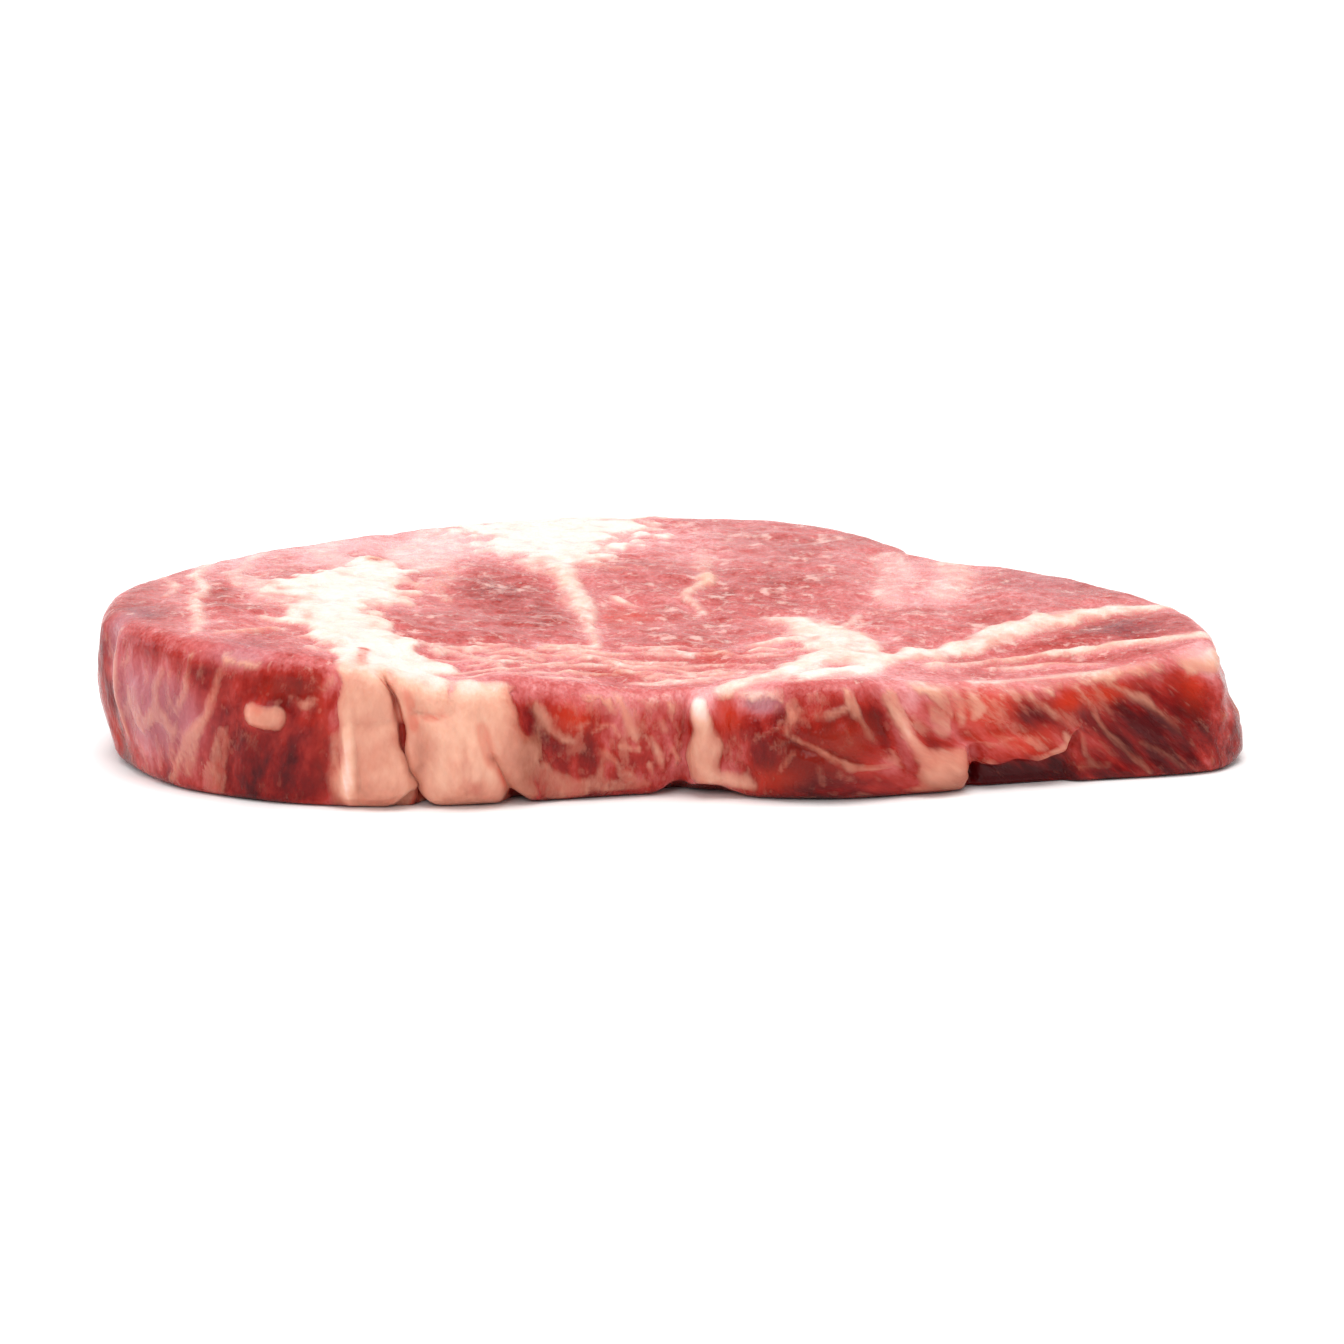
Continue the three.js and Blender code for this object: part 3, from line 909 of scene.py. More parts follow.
@dataclass
class Pattern:
    """The drawn fat, tone and grain of the steak at each point of its skin.

    Attributes:
        form: The steak's form.
        skin: Its mesh.
        washes: The patches of tone.
        seed: Seed of the sway of its lines.
        far: Depth given to points far from any fat.
        sway_size: Usual length of the sway's waves.
        edge_sway: How far lines on the edge sway.
        face_sway: How far lines on the top sway across and in depth.
        width_size: Usual length of the waves in a seam's width.
        width_sway: Share of its width by which a seam swells and narrows.
        width_limits: Least and greatest swelling.
        crevice: Depth below the plain edge at which the painted shade of a crevice starts.
        slants: How much the fibres lean at the right end and at the left corner.
        slant_height: Height at which leaning fibres keep their place.
    """

    form: SteakForm
    skin: Skin
    washes: Sequence[Wash]
    seed: int = 7
    far: float = -6.0
    sway_size: float = 26.0
    edge_sway: float = 0.4
    face_sway: tuple[float, float] = (1.3, 3.2)
    width_size: float = 8.0
    width_sway: float = 0.22
    width_limits: tuple[float, float] = (0.75, 1.5)
    crevice: float = 4.4
    slants: tuple[float, float] = (0.95, -0.2)
    slant_height: float = 22.0

    def depth_in(self, seams: Sequence[Seam]) -> Floats:
        """Return how deep each point lies inside drawn seams, in millimetres, negative outside.

        Args:
            seams: The seams.

        Returns:
            The depth of each point.
        """
        points = self.skin.points + self._sway()
        swell = 1.0 + self.width_sway * Ripple(self.width_size, self.seed + 2).height(self.skin.points)
        swell = np.clip(swell, *self.width_limits)
        out_of_reach = 1000.0
        below = points + np.where(self.skin.face == Face.UNDER, 0.0, out_of_reach)[:, None]
        depth = np.full(len(points), self.far)
        for seam in seams:
            places, halves = self._places(seam)
            self._draw(depth, points, swell, seam, places, halves)
            if seam.on is On.TOP:
                self._draw(depth, below, swell, seam, places * (1.0, 1.0, 0.0), halves)
        return depth

    def _sway(self) -> Floats:
        """Return how far each point's place in the drawing is moved, so that no line is straight.

        Returns:
            Three distances for each point.
        """
        skin, (x, y) = self.skin, self.skin.points[:, :2].T
        inside = np.where(skin.face == Face.EDGE, 0.0, smooth((1.0 - skin.out) / 0.15))
        calm = np.maximum(eased(y, 15.0, -25.0), eased(x, 20.0, 50.0))
        inside = inside * blend(1.0, 0.15, calm)
        waves = [Ripple(self.sway_size, self.seed + turn).height(skin.points) for turn in (0, 1)]
        sways = [
            wave * blend(self.edge_sway, face_sway, inside)
            for wave, face_sway in zip(waves, self.face_sway)
        ]
        return np.column_stack([*sways, np.zeros(len(x))])

    def _places(self, seam: Seam) -> tuple[Floats, Floats]:
        """Return a seam's knots in space and its half width at each.

        Args:
            seam: The seam.

        Returns:
            The places and the half widths.
        """
        form = self.form
        u, v, halves = np.array(seam.knots, dtype=float).T
        if seam.on is On.TOP:
            return np.column_stack([u, v, form.top_height(u, v)]), halves
        share = np.clip(v / form.thickness, 0.0, 1.0)
        inset = form.measure(u, "top_in") * share**2 + form.measure(u, "bottom_in") * (1.0 - share) ** 3
        return np.column_stack([form.inset_point(u, inset - form.edge_relief(u, v)), v]), halves

    def _draw(
        self, depth: Floats, points: Floats, swell: Floats, seam: Seam, places: Floats, halves: Floats
    ) -> None:
        """Deepen the fat near one seam.

        Args:
            depth: Depth inside fat of each point, changed in place.
            points: Each point's place in the drawing.
            swell: How many times wider the seam is near each point.
            seam: The seam.
            places: The seam's knots in space.
            halves: The seam's half width at each knot.
        """
        reach = 1.6 * halves.max() + abs(self.far) * seam.soft
        low, high = places.min(axis=0) - reach, places.max(axis=0) + reach
        near = np.flatnonzero(np.all((points > low) & (points < high), axis=1))
        if len(places) == 1:
            places, halves = np.repeat(places, 2, axis=0), np.repeat(halves, 2)
        best = np.full(len(near), -np.inf)
        for start, end, half, next_half in zip(places, places[1:], halves, halves[1:]):
            along = end - start
            length = max(float(along @ along), 1e-9)
            share = np.clip((points[near] - start) @ along / length, 0.0, 1.0)
            distance = np.linalg.norm(points[near] - start - share[:, None] * along, axis=1)
            best = np.maximum(best, blend(half, next_half, share) * swell[near] - distance)
        depth[near] = np.maximum(depth[near], np.minimum(best / seam.soft, seam.most))

    def wash_sums(self) -> Floats:
        """Add up the washes at each point.

        Returns:
            Three rows: how much darker, warmer and more flecked the lean is at each point.
        """
        skin, (x, y) = self.skin, self.skin.points[:, :2].T
        on_edge = skin.face == Face.EDGE
        rim_start = np.where(skin.face == Face.UNDER, 0.9, 0.985)
        edge_share = np.where(on_edge, 1.0, eased(skin.out, rim_start, 1.0))
        top_share = np.where(on_edge, 0.5 * eased(skin.height, 18.0, 25.0), 1.0)
        total = np.zeros((3, len(x)))
        for wash in self.washes:
            if wash.on is On.TOP:
                du, dv, share = x - wash.u, y - wash.v, top_share
            else:
                du, dv, share = self.form.outline.between(skin.at, wash.u), skin.height - wash.v, edge_share
            patch = share * bell(np.hypot(du / wash.half_u, dv / wash.half_v))
            total += np.outer((wash.dark, wash.warm, wash.fleck), patch)
        return total

    def crevice_shade(self) -> Floats:
        """Return how far past the start of painted shade each point lies, in crevices of the edge and in the
        gaps under lifted feet.

        Returns:
            The distance in millimetres, negative before it.
        """
        skin, form = self.skin, self.form
        in_wall = (-form.edge_relief(skin.at, skin.height) - self.crevice) / 1.8
        lift = form.foot_height(skin.at, np.zeros(len(skin.at))) * eased(skin.out, 0.88, 0.93) - 0.8
        return np.select([skin.face == Face.EDGE, skin.face == Face.UNDER], [in_wall, lift], self.far)

    def wall_share(self, depth: float = 6.5) -> Floats:
        """Return how much each point belongs to the edge, from none at the rim to all at a depth.

        Args:
            depth: The depth below the rim.

        Returns:
            The share of each point.
        """
        skin = self.skin
        rim = self.form.top_height(*self.form.plain_rim(skin.at).T)
        return np.where(skin.face == Face.EDGE, smooth((rim - skin.height + 0.2) / depth), 0.0)

    def grain(self, stretch: float) -> Floats:
        """Return coordinates in millimetres that are squeezed along the meat's fibres.

        Args:
            stretch: How many times longer than wide a shape on them is.

        Returns:
            Three coordinates of each point, which lean where the fibres lean.
        """
        outline, at, height = self.form.outline, self.skin.at, self.skin.points[:, 2]
        right, left = self.slants
        slant = right * eased(at, 150.0, 195.0) * eased(at, 300.0, 260.0)
        slant = slant + left * bell(outline.between(at, 62.0) / 16.0)
        shift = np.where(self.skin.face == Face.EDGE, slant * (height - self.slant_height), 0.0)[:, None]
        sideways = outline.outward(at)[:, ::-1] * (-1.0, 1.0) * shift
        return np.column_stack([self.skin.points[:, :2] + sideways, height / stretch])


# ---- Drawing -----------------------------------------------------------------------------------

# Each row of fat or of painted cleft shade: softness, greatest depth, then knots of two places and a half
# width.
# Fat of the top face, from the thick left end to the thin right one.
TOP_FAT: Rows = (
    # white body of seam fat and its way down to the front edge
    (3.2, 4, (-57, 3, 9.5), (-58, -7, 12.5), (-60, -18, 12.5), (-61, -29, 8.5), (-58.5, -39, 7.5)),
    (3, 4, (-58.5, -39, 7.5), (-55.5, -47, 8.5), (-52, -55, 9.5), (-47, -63, 11)),
    (5, 0, (-46, 60, 3), (-46, 34, 4), (-48, 14, 5)),
    (4, -0.05, (-66, 40, 1.5), (-66, 24, 2), (-62, 8, 3)),
    (4, 0.1, (-75, -8, 3), (-74, -18, 3.5), (-70, -28, 3)),
    # cream fat at the back, and the seam that runs forward from it
    (5, 4, (-22, 62, 20), (-22, 45, 18), (-21, 33, 14), (-20, 24, 9), (-20, 15, 4.6)),
    (2, 4, (-20, 15, 4.2), (-16.3, 5, 3), (-15.8, -4, 2.4), (-14.8, -12, 1.5), (-13.4, -24, 1.4)),
    (2, 4, (-13.4, -24, 1.4), (-12, -34, 1), (-11, -43, 0.6)),
    (2, 0.1, (-28, 18, 1.8), (-23, 9, 1.3), (-18, -1, 1)),
    # short seams in the eye
    (3, -0.05, (8.5, 28, 0.8), (8, 12, 1.3)),
    (2, 4, (8.2, 9, 1.3), (8, 2, 1.6), (7.4, -6, 1.2), (8, -16, 0.5)),
    (2, 4, (-9.5, -2, 0.5), (-6.8, -5.5, 1.3), (-4.5, -8.5, 0.6)),
    (2, -0.1, (-41, 34, 1), (-41, 10, 1), (-39.5, -12, 0.6)),
    (4, 0.1, (59, 24, 3), (58, 9, 2.6), (55, -5, 1.5)),
    (4, -0.1, (47, 30, 2), (47, 12, 2), (45, -6, 1)),
    # star-shaped knot of seams right of the middle
    (3, 1.2, (20, -17, 1), (26, -21, 3), (31, -28, 4.8), (34, -36, 6), (34, -44, 6)),
    (2, 1.2, (33, -44, 5), (30, -50.5, 4.8), (25.5, -57, 3.6), (19, -62, 2.6), (13, -65.5, 2)),
    (2, 4, (16.5, -38.5, 0.6), (22, -36.5, 1.4), (30, -33.5, 1.8)),
    (2, 1.2, (33, -46, 5), (39, -52.5, 4.4), (37, -59, 3.2), (28, -62, 2.6)),
    (2, 4, (38, -19.5, 0.8), (36.5, -24, 0.8), (33.5, -29, 1.2)),
    # long band to the right end, and the second one in front of it
    (2.4, 1.4, (99, -16.5, 2), (88, -18, 2.6), (78, -20.5, 3.4), (69.5, -27, 3.6), (61, -34.5, 3.2)),
    (2, 1.4, (61, -34.5, 3.2), (52, -42, 2.8), (45, -48.5, 2.6), (39, -53, 2.8)),
    (2, 4, (100, -38, 1.4), (88, -38.6, 1.8), (78, -40, 1.8), (69, -42.6, 1.3), (62, -45.4, 0.9)),
    (2, 4, (62, -45.4, 0.9), (55, -48.5, 0.8), (48, -52.5, 1.2)),
    (2, 4, (80, -48.2, 0.5), (70, -47.6, 0.6), (60, -50, 0.5)),
    (2, 0.3, (99, -46.5, 1), (91, -50, 1.4), (80, -52.8, 1.2), (68, -55, 0.9), (56, -59, 0.8)),
    # lean left end
    (2, 4, (-89, 12, 0.9), (-87, 0, 1.3), (-85.5, -12, 1.4), (-85, -25, 1.1), (-83.5, -40, 1.1)),
    (2, 4, (-83.5, -40, 1.1), (-82.4, -50, 0.8), (-82, -58, 0.4)),
    (2, 4, (-71, -43.5, 0.6), (-66.5, -44, 1.1), (-62, -45, 0.9)),
    (2, 4, (-78, -58, 0.4), (-72.5, -53.5, 0.9), (-68, -50.5, 0.7)),
    (2, 4, (-95, -4, 0.5), (-91, -16, 0.6), (-90, -28, 0.4)),
    (2, 0.1, (-78, 22, 0.8), (-80, 6, 0.9), (-79, -6, 0.6)),
    # strands along the front
    (2, 4, (-44, -47.5, 0.5), (-36, -50, 0.7), (-31, -54.5, 0.5), (-27, -61, 0.3)),
    (2, 4, (-36, -47, 0.4), (-28, -48.6, 0.5), (-21, -52, 0.3)),
    (2, 4, (-20, -42, 0.7), (-16.5, -44, 1.3), (-12, -46, 0.9)),
    (2, 4, (-25, -49.5, 0.5), (-17, -50, 0.8), (-8, -49, 0.6), (0, -48, 0.3)),
    (2, 4, (-7, -52.5, 0.3), (1, -50.5, 0.6), (12, -51.5, 0.4)),
    (2, 4, (-18, -55, 0.3), (-9, -53.5, 0.5), (-3, -56, 0.3)),
    (2, 4, (-3, -60, 0.5), (2.5, -58.6, 0.8), (9, -59.8, 0.5)),
    (2, 4, (-2, -44, 0.4), (6, -45.5, 0.6), (13, -43.5, 0.3)),
)
# Fat of the front edge, from the left corner to the right end.
EDGE_FAT: Rows = (
    # grey network near the left corner
    # The first stroke is a pale stroke painted as the highlight on the left corner's ridge.
    (2, 0.25, (24.4, 26, 0.7), (25.4, 20, 1.1), (26, 14, 1), (27, 8, 0.5)),
    (2, 0.15, (38.5, 22.5, 0.5), (36.6, 18.5, 0.9), (37.4, 15, 1.1), (39.2, 13, 1.4), (41, 11, 0.9)),
    (2, 0.15, (46.4, 25, 0.8), (45.5, 21, 0.9), (44, 18, 0.7), (42.5, 15.8, 0.7)),
    (3, -0.05, (31.5, 17, 0.8), (31.8, 13, 1)),
    (2, 0.15, (29.4, 17.6, 0.6), (30.4, 14.6, 0.8), (31.8, 11.8, 1.1), (33.4, 9.6, 0.7)),
    (2, 0.15, (36.8, 15.6, 0.6), (35.4, 12.6, 0.9), (33.6, 10.6, 0.8)),
    (1.6, 0, (41.6, 22.4, 0.4), (40.2, 19.4, 0.4), (41, 16.6, 0.4), (42.6, 14.4, 0.3)),
    (1.6, -0.05, (33.6, 22, 0.4), (34.4, 19, 0.4), (33.6, 16.4, 0.3)),
    (1.6, -0.05, (30, 8.6, 0.3), (31.4, 5.6, 0.5), (31, 3, 0.3)),
    (1.6, -0.05, (36.4, 9.4, 0.3), (37.2, 6, 0.5), (36.6, 3, 0.3)),
    (1.6, 0, (42.8, 11.6, 0.5), (41, 9.8, 0.6), (40.2, 6.6, 0.7), (40.4, 3.8, 0.4)),
    (2, 4, (54, 25, 0.4), (52.2, 22, 0.8), (50.8, 18.5, 0.8), (49.6, 15, 0.8), (47, 12.2, 1.1)),
    (2, 4, (47, 12.2, 1.1), (44.4, 10.4, 1.1), (43, 7, 1), (41.4, 3.6, 0.9), (39.4, 1.4, 0.7)),
    (2, 0.1, (46.4, 9.5, 1.2), (45, 6, 1.6), (44.4, 4, 1.2)),
    (2, 0.05, (53, 12.5, 1), (52, 8, 1.8), (50.6, 3.5, 2.3), (50, 1, 2.2)),
    # Painted highlight: a pinkish-white line along the rim, drawn as thin fat.
    (2, 0.3, (54.2, 25.2, 0.8), (57, 24.9, 0.8), (60, 24.8, 0.5)),
    # nodule and the hook beside it
    (1.5, 4, (60.4, 16.3, 2.2), (61.5, 16.2, 2.6), (62.8, 16, 2.2)),
    (2, 4, (66.4, 19.4, 0.4), (68.3, 18.2, 0.8), (70, 19.2, 0.5)),
    (2, 4, (71.6, 21.4, 0.6), (73.4, 22.8, 0.9)),
    # fat cap on both sides of the cleft
    (1.6, 4, (80.8, 24, 5.8), (81.4, 12, 6.4), (81.8, 5, 7), (81.6, 0, 6.8)),
    (3, 0.2, (74, 13, 1), (74.2, 6, 1.3), (74.2, 0, 1.3)),
    (2, 4, (88, 22, 6), (92, 12, 8), (93, 0, 8)),
    (2, 4, (99, 19, 6.5), (100.5, 12, 8), (103.5, 7, 8.2), (102, 2, 5.5)),
    (1.8, 0.15, (110.5, 6, 2), (112.5, 2.4, 2.4), (117, 1.6, 2.2)),
    (2, 4, (108, 19.6, 0.7), (109.4, 17, 1.3), (111, 13.6, 1.1), (113.5, 11.4, 0.8), (116, 11, 0.4)),
    # streaked lean left of the fat column
    (1.5, 4, (114, 18.4, 0.6), (116, 16.8, 0.5)),
    (2, 4, (124, 19.4, 0.5), (125.4, 16, 0.7), (126.4, 12.6, 0.6), (127.2, 10.4, 0.3)),
    (2, 4, (128.2, 18.4, 0.5), (129.6, 16.4, 0.7)),
    (2, 4, (121.6, 8.6, 0.5), (121, 5, 0.6), (120.4, 2.4, 0.5)),
    (2, 4, (121.8, 8.4, 0.5), (123.4, 7, 0.4), (124.4, 5, 0.3)),
    (2, 4, (117.4, 5.6, 0.4)),
    (1.5, 0.1, (125, 4.4, 0.9), (127.4, 2.2, 1.2)),
    (2, 4, (131.8, 14.6, 0.8), (132.8, 12.6, 0.9)),
    (2, 4, (134.6, 13.4, 0.5), (135.2, 12.2, 0.5)),
    (2, 4, (131, 17.4, 0.5), (131.8, 16, 0.4)),
    (1.5, 4, (129, 10.8, 0.5), (130, 9.8, 0.4)),
    (1.5, 0.1, (124, 9.6, 0.4), (127.6, 9, 0.5)),
    (1.5, 4, (112.6, 18.4, 0.6), (113.4, 18, 0.5)),
    (1.5, 0.1, (118.4, 18.8, 0.6), (120.6, 19, 0.5)),
    (1.5, 4, (133.6, 9.6, 0.3), (134.6, 7, 0.4), (134.4, 4.6, 0.3)),
    (1.5, 0.1, (113.4, 8.6, 0.5)),
    (1.5, 0.1, (119.6, 12.6, 0.4), (121.4, 13.6, 0.4)),
    (1.5, 0.1, (129.4, 6, 0.3), (130.2, 3.6, 0.4)),
    (2, 4, (127.4, 16, 0.4), (128.6, 12.6, 0.4)),
    (2, 4, (133, 18.6, 0.4), (134.6, 15.8, 0.6)),
    (2, 4, (129.8, 11.4, 0.4), (131.4, 8, 0.5), (132.2, 4.6, 0.4)),
    (1.4, 0.3, (123, 13.4, 0.5), (124, 11.6, 0.4)),
    (1.4, 0.4, (130.6, 14.4, 0.5), (131.2, 12.4, 0.4)),
    (1.4, 0.3, (122.4, 17.6, 0.6), (123.2, 15.8, 0.4)),
    (1.4, 0.4, (133.4, 16, 0.5), (134.2, 14.4, 0.5)),
    (1.6, 0.2, (116.4, 13.6, 0.5), (118.6, 14.4, 0.4)),
    (2, 0.1, (119.6, 3.4, 0.9), (124, 2.2, 1.1), (129, 2.4, 0.8)),
    # fat column and its foot
    (1.5, 4, (139, 17.3, 2.3), (139.6, 13.6, 2.6), (140, 9, 3), (139.8, 5, 3.4)),
    (2, 4, (139.4, 4.6, 2.6), (143.4, 3.6, 2.3), (147.4, 2.5, 1.2)),
    (2, 4, (140.4, 19.7, 0.6), (144.6, 19.7, 0.6), (148, 19.4, 1.1), (152, 20, 0.9)),
    # dark lobe
    (1.4, 4, (153, 18.6, 0.9), (154, 15.8, 0.9), (153.2, 13.4, 0.7)),
    (2, 0.1, (156, 16.8, 0.6), (158, 16, 0.9), (161, 16.4, 0.8), (163, 16.8, 0.4)),
    (1.4, 4, (163.3, 21, 0.6), (164.2, 17.6, 0.7), (165.6, 15, 0.5), (167, 12.6, 0.6),
        (168.6, 10.8, 0.3)),
    (1.2, 0.3, (151.6, 13.6, 0.3), (149, 12, 0.4), (147, 10, 0.5), (146.2, 7.6, 0.4)),
    (1.2, 4, (153, 12.8, 0.5), (156, 11.2, 0.4), (159, 10, 0.4), (161.6, 8, 0.6), (164.6, 6.5, 0.5)),
    (1.2, 4, (164.6, 6.5, 0.5), (168, 6.3, 0.5), (172.5, 6.4, 0.3)),
    (1.2, 0.3, (154.6, 9.2, 0.4), (153, 7, 0.5), (152, 5.2, 0.2)),
    (2, -0.1, (159.4, 6.6, 0.4), (160, 3.6, 0.3)),
    # leaning column and its broad foot
    (2, 1.5, (171.8, 18.6, 1.6), (173, 15.4, 1.8), (174.8, 12.4, 1.5), (177, 9.8, 1.4), (179.4, 7, 2)),
    (2, 4, (179, 6.4, 1), (179.8, 3.6, 3), (183.2, 3.2, 4.4), (184.6, 1.6, 3.8)),
    (1.5, 4, (175.6, 1, 1), (180, 1, 2)),
    # rim and streaks of the orange lean
    (2, 4, (178.4, 19.2, 0.8), (181, 18.9, 0.9), (184.4, 19.2, 0.6)),
    (2, 0.1, (181.2, 17.4, 1.5), (182.6, 14, 1.8), (183, 11.6, 1.1)),
    (2, 4, (185, 18.4, 0.5), (185.7, 15.4, 0.8), (186, 12.2, 0.5)),
    (2, 4, (191.4, 14.2, 0.5), (192.4, 12.8, 0.8), (193.6, 11, 0.5)),
    (2, 4, (190.4, 18.4, 0.5), (192.6, 17.4, 0.4)),
    (2, 4, (196.8, 18, 0.5), (198.4, 16, 0.6), (200.6, 14.5, 0.6), (204, 12.2, 0.4), (207, 10.2, 0.3)),
    (2, 4, (199.4, 18.6, 0.7), (201.8, 17.2, 0.9)),
    (1.6, 0, (189, 8.6, 0.5), (193, 8.4, 0.6), (197.4, 6.8, 0.5)),
    (1.8, 0.2, (187.4, 17.8, 0.8), (188.8, 15.6, 1.1), (188, 13.4, 0.8)),
    (1.6, 0.2, (190.2, 11.2, 0.5), (193.6, 9.8, 0.7), (196, 9.4, 0.4)),
    (1.6, 0.4, (194.4, 18.6, 0.9), (195.6, 16.4, 0.6)),
    (1.4, 0.2, (189.6, 5.4, 0.4), (193, 4.9, 0.5), (197, 5.7, 0.4), (200.4, 5.3, 0.5)),
    (1.4, 0.4, (200.4, 5.3, 0.5), (203, 6.1, 0.6), (205.2, 7.2, 0.7)),
    # flap's tip and the long slanting streaks
    (2, 4, (205, 9.3, 0.5), (206.3, 8, 1), (207.6, 9.4, 0.5)),
    (2, 0.1, (208.4, 10, 0.3), (209.5, 8, 0.5), (210.2, 6.2, 0.3)),
    (2, 4, (205.5, 19, 0.4), (209.4, 16.2, 0.6), (212, 13.6, 0.35), (213.2, 11, 0.3)),
    (2, 4, (213.2, 11, 0.3), (215, 8.4, 0.4), (218, 5, 0.45), (221.6, 1, 0.4)),
    (2, 4, (215, 17.8, 0.4), (219, 15.6, 0.6), (221.6, 14.6, 0.7), (223.2, 12.4, 0.6),
        (225.6, 10, 0.5)),
    (2, 4, (225.6, 10, 0.5), (228, 7.2, 0.4), (230, 5, 0.3), (231.4, 3.2, 0.15)),
    (2, 0, (220, 6.8, 0.2), (223, 5, 0.3), (226, 3, 0.35), (228, 1.2, 0.3)),
    (1.6, 0.1, (209.4, 3, 0.7), (212, 3.1, 0.8), (214.6, 3, 0.4)),
    # A pale band along the rim: partly thin fat, partly a painted highlight of the wet rim.
    (3, 0.25, (178, 20.6, 1.1), (188, 20.2, 1), (197, 20.4, 1.3), (206, 19.8, 1)),
    (2, 4, (206, 19.4, 0.8), (212, 19.4, 1.1), (218, 19.6, 1.2), (225, 20, 1.3), (230, 20.8, 1)),
    # right end
    (2, 4, (230.6, 20, 1.5), (235, 19.8, 2), (246, 20.6, 1.9), (256, 21, 1.6)),
    (2, 4, (236.8, 9.8, 0.9)),
    (2, 4, (236.6, 3, 0.8)),
    (2, 4, (244, 16, 0.5), (249, 9, 0.8), (251, 3, 0.5)),
    (2, 4, (257, 17, 0.5), (259, 10, 0.9), (258, 3, 0.6)),
)
# Seam fat's body at the back edge, and the two seams beside it.
BACK_FAT: Rows = (
    (2, 4, (430, 24, 12), (434, 12, 11), (431, 0, 13)),
    (2, 0.6, (474, 24, 2), (479, 14, 3), (483, 0, 1.4)),
    (2, 0.8, (341, 27, 1.6), (340, 14, 2.2), (337, 0, 1.2)),
)
# Dark red lines of painted shade in the clefts, creases and notches of the fat.
TOP_CLEFT_SHADE: Rows = (
    (1.2, 0.1, (-51, -61.8, 0.9)),
    (2, -0.15, (-50.6, -63, 0.4), (-50, -69, 0.5)),
)
EDGE_CLEFT_SHADE: Rows = (
    (0.8, 0.2, (79.6, 27, 0.3), (82.2, 23, 0.2), (84.4, 19.5, 0.3), (85.4, 15, 0.3)),
    (0.7, 4, (85.4, 15, 0.3), (85.7, 11, 0.4), (87, 6.5, 0.4), (88.2, 4, 0.5)),
    (1.2, 4, (88.2, 4, 0.4), (88, 2.6, 0.8), (87.8, 0, 1.1)),
    (2, 0.3, (102.4, 7, 0.2), (103.5, 4.5, 0.4), (105.2, 1.5, 1), (105.3, 0, 1.3)),
    (2, 0, (87.8, 17.1, 0.3), (91, 16.8, 0.4), (94.6, 17.5, 0.2)),
    (3, -0.15, (86.6, 21.5, 0.6), (87.4, 18.5, 0.6), (87.6, 15, 0.3)),
    (3, -0.2, (99.6, 14.5, 0.3), (100.4, 11.5, 0.5), (101, 8.6, 0.5)),
    (2, 0.1, (100.2, 1.6, 0.4), (102.6, 1.3, 0.4)),
    (2, -0.3, (76.8, 1.2, 0.3), (81, 1, 0.3), (83.6, 1.4, 0.3)),
    (1.2, 4, (188.9, 5, 0.5), (189, 0, 1.2)),
    (1.2, 4, (420.4, 24, 0.6), (420, 15, 0.8), (418, 0, 1.8)),
)
# Each patch of tone: its middle and half-sizes, how much darker, warmer and more flecked it is. A few
# patches are painted shade and painted highlights, marked where they stand.
TOP_WASHES: Rows = (
    (-98, -28, 7, 14, 0.45), (-94, -44, 7, 9, 0.5, -0.7), (-81, -24, 3, 9, 0.6),
    (-76, -36, 5, 5, 0.5, 0.2), (-87, -66, 6, 6, 0.7, 0.5), (-72, -64, 7, 8, 0.25, -0.5, -0.5),
    (-70, -54, 4, 4, 0.5, 0.3), (-75, 25, 20, 30, -0.45, 0, 0.2), (-45, 36, 20, 20, -0.7),
    (-55.5, 18, 2, 6, 1.3), (-31, -6, 11, 17, 0.6), (-24, -28, 8, 12, 0.35), (-46, -34, 7, 7, 0.3, 0.4),
    (4, 42, 14, 18, -0.4, 0, -0.2), (-8, 14, 4, 8, 0.4), (-5, -18, 6, 10, 0.25, 0.9, -0.4),
    (14, 6, 11, 14, 0.5), (26, 38, 12, 12, 0.2, -0.1), (30, 6, 14, 12, 0.1, 0, 0.3),
    (50, 6, 9, 22, -0.35, 0.3), (76, 8, 14, 20, 0.15, -0.5), (88, -30, 12, 8, 0.85, -0.4, -1.2),
    (68, -38, 10, 4, 0.35, 0.2), (78, -45, 20, 2.5, 0.5, 0.3), (-15, -50, 36, 14, 0.1, 0.1, -0.7),
    (-8, -57, 6, 2.5, 0.5, 0.4), (11, -46, 3, 5, 0.4, 0.5), (36, -60, 16, 5, -0.4),
)
